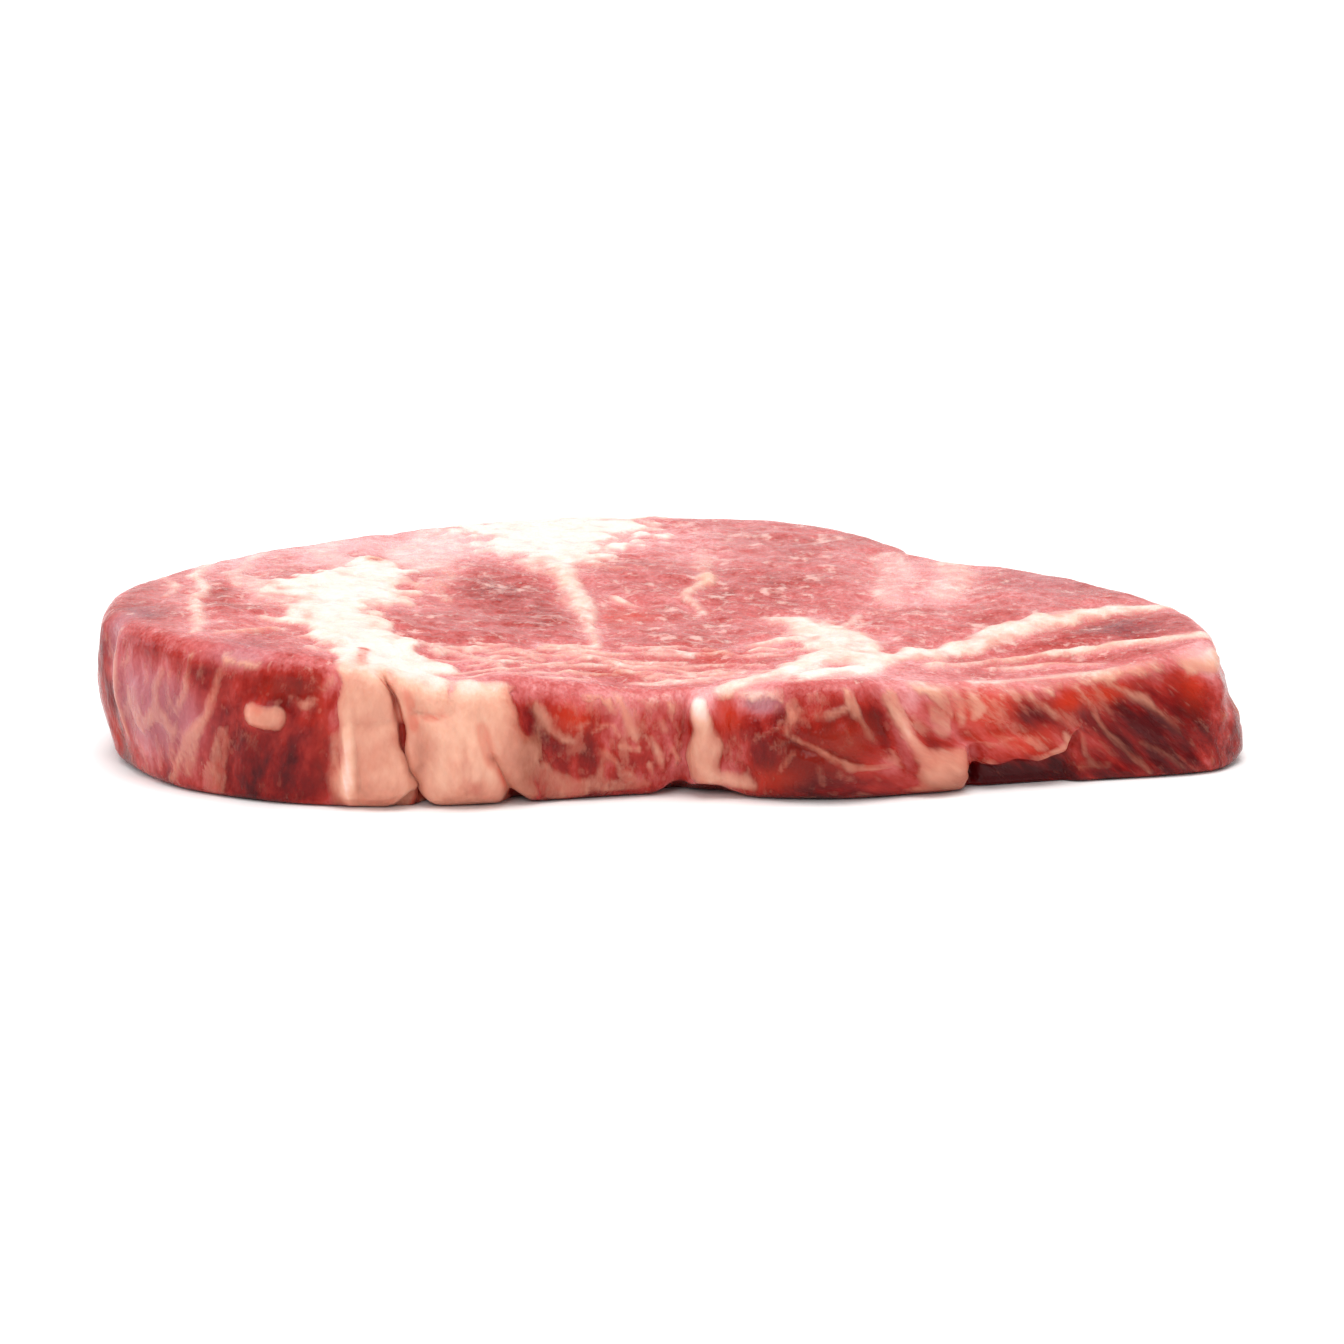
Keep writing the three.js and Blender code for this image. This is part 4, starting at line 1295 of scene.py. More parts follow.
EDGE_WASHES: Rows = (
    # (18.5, 13) darkens the recess by the left end as painted shade.
    (18.5, 13, 5, 10, 0.3, 0.15, -1.2), (8, 14, 5, 9, 0, -0.2, -1), (21, 6, 7, 4, 0.2, 0.5),
    # (21, 23) is a painted lilac highlight on the left corner's rim.
    (31, 14, 9, 9, -0.35, -1.2, 0.9), (36, 26, 9, 2, 0.5), (21, 23, 3.6, 5.4, -1.4, -1.4, 0.8),
    # (56, 26) is a painted lilac highlight on the rim.
    (56, 26, 8, 2, -0.3, -0.6), (43, 14, 8, 9, -0.1, -0.9, 0.5), (49, 22, 4, 4, 0.3, 0.1),
    (62, 6, 9, 9, 1.05, 0.1, -1), (63, 21.5, 8, 3, 0.35, 0.45), (71.5, 10, 2.5, 16, 0.1, 0.4),
    # (76.2, 6) is a painted highlight on the fat block's pale ridge; (89, 9) is painted shade on the flank
    # beside the cleft.
    (76.2, 6, 0.9, 8, -1.7), (80, 10, 5, 9, 0.25), (89, 9, 2.2, 6, 0.8), (107, 10, 5, 8, 0.9),
    (138.6, 16.8, 2.8, 2.8, -1.35), (143.5, 3.4, 5, 2.4, -0.7), (174.4, 13, 3, 6, -0.9),
    (97, 11, 7, 10, -0.25), (61.5, 16.3, 3, 2.2, -0.2), (115.4, 15, 4.4, 3.2, 0.45, 0.9, -0.4),
    (118, 8, 7, 4, 0.75, 0.2), (126, 13, 10, 7, -0.3, 0.2, 1.5), (143, 16, 2.8, 4.4, 0.3, 1, -0.4),
    (157, 9, 10, 7, 1.05, 0.3, -1.2), (166, 12, 5, 6, 0.7, 0.5, -0.5),
    # (149, 17.8) is a painted lilac highlight at the top of the dark lobe.
    (149, 17.8, 4, 1.8, -1.1, -1.6, -0.4), (151, 4, 5, 3, 0.35, 0.6), (165, 2.5, 12, 1.6, -0.2, -0.2),
    (178, 14, 3, 4, 0.1, 0.4), (190, 15, 6, 5, -0.5, 1.4, 1.4), (183, 9.6, 6, 1.5, 0.5, 0.2),
    (198, 13.4, 4, 3, 0.4, -0.2), (198, 8.4, 7, 3, -0.45, 1, 1.3), (206, 15, 4, 2.6, 0.25, 1, -0.4),
    # (198, 1.5) is painted shade under the flap.
    (214, 16, 4, 1.8, 0.3, 1.2), (222, 8.6, 12, 6, 1.25, 0, -0.3), (198, 1.5, 14, 3.4, 1.3, -0.1, -1),
    (216, 18.5, 14, 2.5, 0.15, 0.2), (231, 17, 3, 5, -0.15, 0.8), (235, 20.5, 5, 3, -1),
    (246, 9, 14, 9, 0.4, 0.4), (300, 12, 22, 12, 0.5), (372, 12, 30, 12, 0.25, 0.3),
    (500, 12, 34, 12, 0.4, -0.1), (556, 12, 14, 12, 0.5, -0.2),
)


def cleft_shade_lines() -> list[Seam]:
    """Return the dark red lines of painted shade in clefts, creases and notches."""
    return drawn(On.TOP, TOP_CLEFT_SHADE) + drawn(On.EDGE, EDGE_CLEFT_SHADE)


def tone_washes() -> list[Wash]:
    """Return the patches of tone."""
    return [Wash(On.TOP, *row) for row in TOP_WASHES] + [Wash(On.EDGE, *row) for row in EDGE_WASHES]


def all_fat(form: SteakForm, seed: int) -> list[Seam]:
    """Return the fat of the whole steak, drawn line by line or at random."""
    seams = drawn(On.TOP, TOP_FAT) + drawn(On.EDGE, EDGE_FAT)
    return seams + hidden_edge_fat(form, seed) + front_strands(form, seed + 1)


def front_strands(form: SteakForm, seed: int) -> list[Seam]:
    """Return fine strands of fat that run along the front of the top face, drawn at random.

    Args:
        form: The steak's form.
        seed: Seed of the random draw.

    Returns:
        The strands, which follow the front edge at different distances.
    """
    draw = np.random.default_rng(seed)
    tapers = (0.7, 1.2, 1.0, 0.5)
    strands = []
    for start in np.linspace(88.0, 150.0, 54):
        way_in = draw.uniform(5.0, 27.0)
        places = start + np.cumsum(draw.uniform(1.5, 5.0, len(tapers)))
        ways_in = way_in + np.cumsum(draw.normal(0.0, 0.9, len(tapers)))
        half = draw.uniform(0.25, 0.55)
        points = form.inset_point(places, ways_in)
        knots = [(x, y, half * taper) for (x, y), taper in zip(points, tapers)]
        strands.append(Seam(On.TOP, 1.2, draw.uniform(0.05, 0.6), knots))
    return strands


def hidden_edge_fat(form: SteakForm, seed: int) -> list[Seam]:
    """Return streaks of fat for the back edge, drawn at random in the front edge's manner.

    Args:
        form: The steak's form.
        seed: Seed of the random draw.

    Returns:
        The streaks, with the seam fat's body and two seams where they reach the back edge.
    """
    draw = np.random.default_rng(seed)
    tapers = (0.5, 1, 1.2, 1, 0.8, 0.3)
    seams = drawn(On.EDGE, BACK_FAT)
    place, end = 268.0, form.outline.length + 8.0
    body_start, body_end = 408.0, 452.0
    while place < end:
        if not body_start < place < body_end:
            through = draw.random() < 0.4
            high = 27.0 if through else draw.uniform(12.0, 24.0)
            low = -1.0 if through else high - draw.uniform(5.0, 12.0)
            lean = draw.uniform(-5.0, 5.0)
            half = draw.choice((0.3, 0.5, 0.8, 1.5), p=(0.4, 0.3, 0.2, 0.1))
            sway = np.cumsum(draw.normal(0.0, 1.0, len(tapers)))
            steps = np.linspace(0.0, 1.0, len(tapers))
            knots = [
                (place + lean * step + bend, blend(high, low, step), half * draw.uniform(0.4, 1.4) * taper)
                for step, bend, taper in zip(steps, sway, tapers)
            ]
            seams.append(Seam(On.EDGE, draw.choice((1.2, 2.4)), 4.0, knots))
        place += draw.uniform(3.0, 9.0)
    return seams


# ---- Nodes -------------------------------------------------------------------------------------


class Value:
    """A number's socket, on which arithmetic adds Math nodes."""

    def __init__(self, bench: Bench, socket: bpy.types.NodeSocket) -> None:
        """Wrap a socket of a bench's tree."""
        self.bench = bench
        self.socket = socket

    def _math(self, operation: str, *feeds: Feed) -> Value:
        """Return the outcome of one Math operation."""
        return self.bench.value("ShaderNodeMath", {"operation": operation}, dict(enumerate(feeds)))

    def __add__(self, other: Feed) -> Value:
        """Add."""
        return self._math("ADD", self, other)

    __radd__ = __add__

    def __sub__(self, other: Feed) -> Value:
        """Subtract."""
        return self._math("SUBTRACT", self, other)

    def __rsub__(self, other: Feed) -> Value:
        """Subtract from a number."""
        return self._math("SUBTRACT", other, self)

    def __mul__(self, other: Feed) -> Value:
        """Multiply."""
        return self._math("MULTIPLY", self, other)

    __rmul__ = __mul__

    def magnitude(self) -> Value:
        """Return the value without its sign."""
        return self._math("ABSOLUTE", self)

    def larger(self, other: Feed) -> Value:
        """Return the larger of two values."""
        return self._math("MAXIMUM", self, other)

    def step(self, low: Feed, high: Feed) -> Value:
        """Return 0 at low and 1 at high, eased between them."""
        feeds = {"Value": self, "From Min": low, "From Max": high}
        return self.bench.value("ShaderNodeMapRange", {"interpolation_type": "SMOOTHSTEP"}, feeds)


Feed = Any


@dataclass
class Bench:
    """A node tree under construction."""

    tree: bpy.types.NodeTree

    def node(
        self,
        kind: str,
        settings: Mapping[str, Any] | None = None,
        feeds: Mapping[str | int, Feed] | None = None,
    ) -> bpy.types.Node:
        """Add a node.

        Args:
            kind: The node's type.
            settings: Its properties, set first; "stops" gives a ramp's positions and colours.
            feeds: A number, colour, Value or socket for each of its inputs, by name or number.

        Returns:
            The node.
        """
        node = self.tree.nodes.new(kind)
        for name, setting in (settings or {}).items():
            if name == "stops":
                self._set_stops(node.color_ramp, setting)
            else:
                setattr(node, name, setting)
        for name, feed in (feeds or {}).items():
            if isinstance(feed, Value):
                self.tree.links.new(feed.socket, node.inputs[name])
            elif isinstance(feed, bpy.types.NodeSocket):
                self.tree.links.new(feed, node.inputs[name])
            else:
                node.inputs[name].default_value = feed
        return node

    @staticmethod
    def _set_stops(ramp: bpy.types.ColorRamp, stops: Sequence[tuple[float, Colour]]) -> None:
        """Give a colour ramp its stops.

        Args:
            ramp: The ramp.
            stops: Position and colour of each stop.
        """
        while len(ramp.elements) < len(stops):
            ramp.elements.new(1.0)
        for element, (position, colour) in zip(ramp.elements, stops):
            element.position = position
            element.color = colour

    def value(self, kind: str, settings: Mapping[str, Any] | None, feeds: Mapping[str | int, Feed]) -> Value:
        """Add a node and return its first output as a value."""
        return Value(self, self.node(kind, settings, feeds).outputs[0])

    def noise(self, vector: bpy.types.NodeSocket, size: float, **feeds: Feed) -> Value:
        """Return noise whose lumps are about a size wide, in the vector's own unit."""
        named = {name.title(): feed for name, feed in feeds.items()}
        return self.value("ShaderNodeTexNoise", None, {"Vector": vector, "Scale": 1.0 / size} | named)

    def mix(self, share: Feed, first: Feed, second: Feed) -> bpy.types.NodeSocket:
        """Return a colour a share of the way from the first to the second."""
        settings = {"data_type": "RGBA", "clamp_factor": True}
        return self.node("ShaderNodeMix", settings, {0: share, 6: first, 7: second}).outputs[2]

    def ramp(self, share: Feed, stops: Sequence[tuple[float, Colour]]) -> bpy.types.NodeSocket:
        """Return a colour from a ramp of stops."""
        return self.node("ShaderNodeValToRGB", {"stops": stops}, {"Fac": share}).outputs[0]


# ---- Finishes ----------------------------------------------------------------------------------


def shade(red: int, green: int, blue: int) -> Colour:
    """Return a screen colour, counted to 255, as linear light.

    Args:
        red: Its red.
        green: Its green.
        blue: Its blue.

    Returns:
        The colour, fully opaque.
    """
    parts = [part / 255.0 for part in (red, green, blue)]
    light = [part / 12.92 if part <= 0.04045 else ((part + 0.055) / 1.055) ** 2.4 for part in parts]
    return (light[0], light[1], light[2], 1.0)


class Trait(Enum):
    """What the skin's points carry for the finish and the relief."""

    FAT_DEPTH = "fat_depth"
    CLEFT_SHADE = "blood_depth"
    LEAN_TONE = "lean_tone"
    WARMTH = "warmth"
    FLECKS = "flecks"
    FAT_TONE = "fat_tone"
    RELIEF = "relief_share"
    WALL = "wall_share"
    GRAIN = "grain"


@dataclass
class Tissue:
    """What the beef's shader knows of a point: the skin's traits, and noise along the fibres.

    Attributes:
        bench: The material's bench.
        patch_size: Size of the broad patches of tone, in millimetres.
        bundle_size: Size of the bundles of fibres.
        fibre_size: Size of the fibres.
        blotch_size: Size of the marbling's blotches.
        speck_size: Size of its specks.
        nets: Size of each net of fine marbling, size of the gaps in it, and how rare it is.
    """

    bench: Bench
    patch_size: float = 13.0
    bundle_size: float = 2.6
    fibre_size: float = 0.75
    blotch_size: float = 3.6
    speck_size: float = 1.4
    nets: tuple[tuple[float, float, float], ...] = ((9.0, 7.0, 0.5), (4.4, 4.0, 0.53))

    def __post_init__(self) -> None:
        """Read the traits and lay the noise that lean and fat share."""
        self.grain = self._read(Trait.GRAIN, "Vector")
        numbers = [trait for trait in Trait if trait not in (Trait.RELIEF, Trait.GRAIN)]
        self.fat_depth, self.blood_and_shade, self.lean_tone, self.warmth, self.flecks, self.fat_tone, self.wall = (
            Value(self.bench, self._read(trait, "Fac")) for trait in numbers
        )
        self.patches = self.noise(self.patch_size, detail=3.0)
        self.bundles = self.noise(self.bundle_size, detail=3.0, roughness=0.6)
        self.fibres = self.noise(self.fibre_size)
        self.ragged = ((self.bundles - 0.5) * 2.0 + (self.fibres - 0.5) * 0.9) * (0.8 - self.wall * 0.45)
        self.depth = self.fat_depth + self.ragged
        self.on_face = 1.0 - self.wall.step(0.0, 0.35)
        self.cool = (0.0 - self.warmth).step(0.0, 1.2)
        # Painted shade: where the dark red of clefts, creases and lifted feet is drawn.
        self.cleft_shaded = (self.blood_and_shade + self.ragged * 0.3).step(-0.7, 0.9)

    def _read(self, trait: Trait, output: str) -> bpy.types.NodeSocket:
        """Return the socket of one of the skin's traits."""
        settings = {"attribute_type": "GEOMETRY", "attribute_name": trait.value}
        return self.bench.node("ShaderNodeAttribute", settings).outputs[output]

    def noise(self, size: float, **feeds: Feed) -> Value:
        """Return noise of a size in millimetres, stretched along the fibres."""
        return self.bench.noise(self.grain, size, **feeds)

    def marbling(self) -> Value:
        """Work out where fine fat lies among the fibres.

        Returns:
            0 in the lean and up to 1 in the fat.
        """
        plenty = self.flecks * 0.17 + (self.patches - 0.5) * 0.3
        ragged = (self.bundles - 0.5) * 0.03
        blotches = self.noise(self.blotch_size, detail=4.0, roughness=0.62) + plenty * 0.55
        marbling = blotches.step(0.55, 0.71)
        for size, gap_size, rarity in self.nets:
            ridge = (self.noise(size, detail=2.5) - 0.5).magnitude() + ragged
            gate = self.noise(gap_size) + plenty
            width = gate.step(rarity, rarity + 0.22) * self.on_face * 0.036 - 0.022
            marbling = marbling.larger((width - ridge).step(-0.03, 0.03) * 0.9)
        specks = self.noise(self.speck_size, detail=1.0) + plenty * 0.3
        return marbling.larger(specks.step(0.63, 0.78) * 0.55)


@dataclass(frozen=True)
class RawBeef:
    """Fresh beef: marbled lean and seam fat under a wet surface.

    Attributes:
        lean_stops: The lean's colours from pale to dark.
        fat_stops: The fat's colours from the brown of the edge's foot, where it is painted shade, to the
            white top.
        warm_lean: The orange red of well aired lean.
        mauve_lean_and_sheen: The bluish pink of lean that has just been cut, also painted as lilac sheen on
            the edge's rim.
        blood_and_shade: The red that has soaked into fat, also painted as shade on the fat beside clefts and
            folds.
        cleft_shade_red: The dark red painted as shade in clefts, folds and the gaps under lifted feet.
        fleck: The pinkish white of the finest fat.
        fat_cut: Half the width over which drawn fat turns to lean, in millimetres.
        mottle_size: Size of the mottling of the lean's edge, in millimetres.
        stain_size: Size of the red stains soaked into the fat, in millimetres.
        damp_size: Size of the patches of the wet film, in millimetres.
    """

    lean_stops: tuple[tuple[float, Colour], ...] = (
        (0.0, shade(236, 166, 166)),
        (0.3, shade(200, 98, 96)),
        (0.55, shade(164, 42, 34)),
        (0.78, shade(122, 12, 10)),
        (1.0, shade(78, 4, 8)),
    )
    fat_stops: tuple[tuple[float, Colour], ...] = (
        (0.0, shade(150, 82, 62)),
        (0.35, shade(208, 140, 118)),
        (0.65, shade(234, 180, 155)),
        (1.0, shade(250, 223, 214)),
    )
    warm_lean: Colour = shade(206, 54, 24)
    mauve_lean_and_sheen: Colour = shade(160, 98, 108)
    blood_and_shade: Colour = shade(204, 92, 72)
    cleft_shade_red: Colour = shade(112, 22, 16)
    fleck: Colour = shade(250, 214, 202)
    fat_cut: float = 0.3
    mottle_size: float = 5.0
    stain_size: float = 5.5
    damp_size: float = 4.0

    def make(self) -> bpy.types.Material:
        """Build the material.

        Returns:
            The material, which reads the skin's traits.
        """
        material = bpy.data.materials.new("raw_beef")
        material.use_nodes = True
        material.node_tree.nodes.clear()
        bench = Bench(material.node_tree)
        meat = Tissue(bench)
        marbling = meat.marbling()
        cut = meat.on_face * self.fat_cut + self.fat_cut
        seam_fat = meat.depth.step(0.0 - cut, cut)
        thin = (1.0 - meat.depth.step(-0.5, 1.2)) * (meat.wall * 0.17 + 0.25)
        fat = self._fat(meat)
        colour = bench.mix(seam_fat * (1.0 - thin), self._lean(meat, marbling, fat), fat)
        # Painted shade: dark red in the depths of clefts, creases and the gaps under lifted feet.
        colour = bench.mix(meat.cleft_shaded.step(0.45, 1.0), colour, self.cleft_shade_red)
        self._wet(meat, colour, seam_fat.larger(marbling))
        return material

    def _fat(self, meat: Tissue) -> bpy.types.NodeSocket:
        """Return the fat's colour, stained red in places, and painted red as shade beside clefts and folds.

        Args:
            meat: What is known of each point.

        Returns:
            The colour.
        """
        bench, depth = meat.bench, meat.depth
        tone = meat.fat_tone + (meat.patches - 0.5) * 0.36 + (meat.bundles - 0.5) * 0.42
        fat = bench.ramp(tone + depth.step(0.0, 2.4) * 0.12 - 0.16, self.fat_stops)
        near_lean = 1.0 - depth.step(0.0, 2.0)
        stain = (meat.noise(self.stain_size, detail=4.0) + near_lean * 0.14).step(0.54, 0.8)
        fat = bench.mix(stain * 0.32, fat, self.blood_and_shade)
        # Partly painted sheen: fat on the edge turns mauve where washes are cool, as at the lilac highlights
        # of the rim.
        fat = bench.mix(meat.cool * meat.wall * 0.35, fat, self.mauve_lean_and_sheen)
        # Painted shade: the fat turns red beside clefts, creases and lifted feet.
        return bench.mix(meat.cleft_shaded.step(0.0, 0.55), fat, self.blood_and_shade)

    def _lean(self, meat: Tissue, marbling: Value, fat: bpy.types.NodeSocket) -> bpy.types.NodeSocket:
        """Return the lean's colour with its marbling.

        Args:
            meat: What is known of each point.
            marbling: Where fine fat lies.
            fat: The fat's colour.

        Returns:
            The colour.
        """
        bench, wall = meat.bench, meat.wall
        patches = meat.patches - 0.5
        mottle = meat.noise(self.mottle_size, detail=4.0, roughness=0.55) - 0.5
        broad = patches * (wall * 0.3 + 0.5) + mottle * wall * 1.3
        fine = (meat.bundles - 0.5) * (0.55 - wall * 0.2) + (meat.fibres - 0.5) * (0.45 - wall * 0.25)
        rim_of_fat = meat.depth.step(-2.4, 0.0) * 0.12
        lean = bench.ramp(meat.lean_tone + broad + fine - rim_of_fat, self.lean_stops)
        lean = bench.mix((meat.warmth + patches * 0.8).step(0.0, 1.3) * 0.75, lean, self.warm_lean)
        # Mauve where washes are cool: the lean's own bluish pink, and painted lilac highlights on the rim.
        lean = bench.mix(meat.cool * 0.7, lean, self.mauve_lean_and_sheen)
        fine_fat = bench.mix(meat.on_face, fat, self.fleck)
        return bench.mix(marbling * (meat.on_face * 0.12 + 0.42), lean, fine_fat)

    def _wet(self, meat: Tissue, colour: bpy.types.NodeSocket, is_fat: Value) -> None:
        """Add the wet surface over the colour.

        Args:
            meat: What is known of each point.
            colour: The colour.
            is_fat: Where any fat lies.
        """
        bench, wall = meat.bench, meat.wall
        damp = meat.noise(self.damp_size, detail=3.0)
        height = meat.bundles * 0.7 + meat.fibres * (0.45 - wall * 0.25) + is_fat * 0.3
        bump = bench.node("ShaderNodeBump", None, {"Strength": 0.6, "Distance": 0.001, "Height": height})
        feeds = {
            "Base Color": colour,
            "Roughness": 0.25 + (damp - 0.5) * 0.3 + is_fat * 0.12,
            "Normal": bump.outputs[0],
            "IOR": 1.32,
            "Specular IOR Level": 0.36,
            "Subsurface Weight": 0.25,
            "Subsurface Radius": (1.0, 0.22, 0.14),
            "Subsurface Scale": 0.002,
            "Coat Weight": damp.step(0.35, 0.65) * (0.25 - wall * 0.1),
            "Coat Roughness": 0.12,
            "Coat IOR": 1.33,
        }
        surface = bench.node("ShaderNodeBsdfPrincipled", {"subsurface_method": "RANDOM_WALK"}, feeds)
        bench.node("ShaderNodeOutputMaterial", None, {"Surface": surface.outputs[0]})


@dataclass(frozen=True)
class PaleFloor:
    """The plain matt white of the studio's floor."""

    colour: Colour = shade(250, 249, 248)
    roughness: float = 0.6
    unevenness: float = 0.08
    patch_size: float = 0.05

    def make(self) -> bpy.types.Material:
        """Build the material, with a faint unevenness in its shine.

        Returns:
            The material.
        """
        material = bpy.data.materials.new("pale_floor")
        material.use_nodes = True
        material.node_tree.nodes.clear()
        bench = Bench(material.node_tree)
        place = bench.node("ShaderNodeTexCoord").outputs["Object"]
        least = self.roughness - self.unevenness / 2
        roughness = bench.noise(place, self.patch_size) * self.unevenness + least
        feeds = {"Base Color": self.colour, "Roughness": roughness, "Specular IOR Level": 0.0}
        surface = bench.node("ShaderNodeBsdfPrincipled", None, feeds)
        bench.node("ShaderNodeOutputMaterial", None, {"Surface": surface.outputs[0]})
        return material


# ---- Relief ------------------------------------------------------------------------------------


@dataclass(frozen=True)
class FineRelief:
    """Geometry nodes that raise the fibres, lumps and seams of the skin along its normals.

    Attributes:
        fibre_height: Height of the bundles of fibres, in metres.
        lump_height: Height of the soft lumps under them, in metres.
        fat_height: How far fat stands above the lean beside it, in metres.
        crease_depth: Depth of the crease where fat and lean meet, in metres.
        seed: Place in the noise.
        fibre_size: Width of the bundles of fibres, in millimetres.
        lump_size: Width of the soft lumps, in millimetres.
    """

    fibre_height: float = 0.0005
    lump_height: float = 0.001
    fat_height: float = 0.0004
    crease_depth: float = 0.0003
    seed: float = 3.0
    fibre_size: float = 3.2
    lump_size: float = 11.0

    SIZES = {
        "Fibre Height": "fibre_height",
        "Lump Height": "lump_height",
        "Fat Height": "fat_height",
        "Crease Depth": "crease_depth",
        "Seed": "seed",
    }

    def apply(self, piece: bpy.types.Object, material: bpy.types.Material) -> None:
        """Give a piece the relief and its material, and leave it a plain mesh.

        Args:
            piece: The piece, whose mesh carries the skin's traits.
            material: The material that it gets.
        """
        tree = self._tree()
        modifier = piece.modifiers.new("fine_relief", "NODES")
        modifier.node_group = tree
        identifiers = {item.name: item.identifier for item in tree.interface.items_tree}
        for name, size in self.SIZES.items():
            modifier[identifiers[name]] = getattr(self, size)
        modifier[identifiers["Finish"]] = material
        graph = bpy.context.evaluated_depsgraph_get()
        plain = bpy.data.meshes.new_from_object(
            piece.evaluated_get(graph), preserve_all_data_layers=True, depsgraph=graph
        )
        piece.modifiers.clear()
        old = piece.data
        piece.data = plain
        bpy.data.meshes.remove(old)
        bpy.data.node_groups.remove(tree)

    def _tree(self) -> bpy.types.NodeTree:
        """Build the relief's tree of geometry nodes.

        Returns:
            The tree, whose inputs are the skin, each size and the material.
        """
        tree = bpy.data.node_groups.new("fine_relief", "GeometryNodeTree")
        tree.interface.new_socket("Skin", in_out="INPUT", socket_type="NodeSocketGeometry")
        for name in self.SIZES:
            tree.interface.new_socket(name, in_out="INPUT", socket_type="NodeSocketFloat")
        tree.interface.new_socket("Finish", in_out="INPUT", socket_type="NodeSocketMaterial")
        tree.interface.new_socket("Skin", in_out="OUTPUT", socket_type="NodeSocketGeometry")
        bench = Bench(tree)
        sizes = bench.node("NodeGroupInput").outputs
        grain = self._read(bench, Trait.GRAIN, "FLOAT_VECTOR")
        seed = bench.node("ShaderNodeCombineXYZ", None, {"X": sizes["Seed"], "Y": sizes["Seed"]})
        feeds = {0: grain, 1: seed.outputs[0]}
        place = bench.node("ShaderNodeVectorMath", {"operation": "ADD"}, feeds).outputs[0]
        depth = Value(bench, self._read(bench, Trait.FAT_DEPTH, "FLOAT"))
        share = Value(bench, self._read(bench, Trait.RELIEF, "FLOAT"))
        fibres = bench.noise(place, self.fibre_size) - 0.5
        lumps = bench.noise(place, self.lump_size, detail=1.0) - 0.5
        rise = fibres * Value(bench, sizes["Fibre Height"]) * 2.0
        rise = rise + lumps * Value(bench, sizes["Lump Height"]) * 2.0
        rise = rise + depth.step(-0.6, 0.9) * Value(bench, sizes["Fat Height"])
        crease = 1.0 - (depth + 0.5).magnitude().step(0.0, 1.3)
        rise = (rise - crease * Value(bench, sizes["Crease Depth"])) * share
        normal = bench.node("GeometryNodeInputNormal").outputs[0]
        offset = bench.node("ShaderNodeVectorMath", {"operation": "SCALE"}, {0: normal, "Scale": rise})
        feeds = {"Geometry": sizes["Skin"], "Offset": offset.outputs[0]}
        skin = bench.node("GeometryNodeSetPosition", None, feeds)
        plain = bench.node("GeometryNodeRealizeInstances", None, {0: skin.outputs[0]})
        feeds = {"Geometry": plain.outputs[0], "Material": sizes["Finish"]}
        dressed = bench.node("GeometryNodeSetMaterial", None, feeds)
        bench.node("NodeGroupOutput", None, {0: dressed.outputs[0]})
        return tree

    @staticmethod
    def _read(bench: Bench, trait: Trait, data_type: str) -> bpy.types.NodeSocket:
        """Return the socket of one of the skin's traits."""
        kind, feeds = "GeometryNodeInputNamedAttribute", {"Name": trait.value}
        return bench.node(kind, {"data_type": data_type}, feeds).outputs["Attribute"]


# ---- Steak -------------------------------------------------------------------------------------


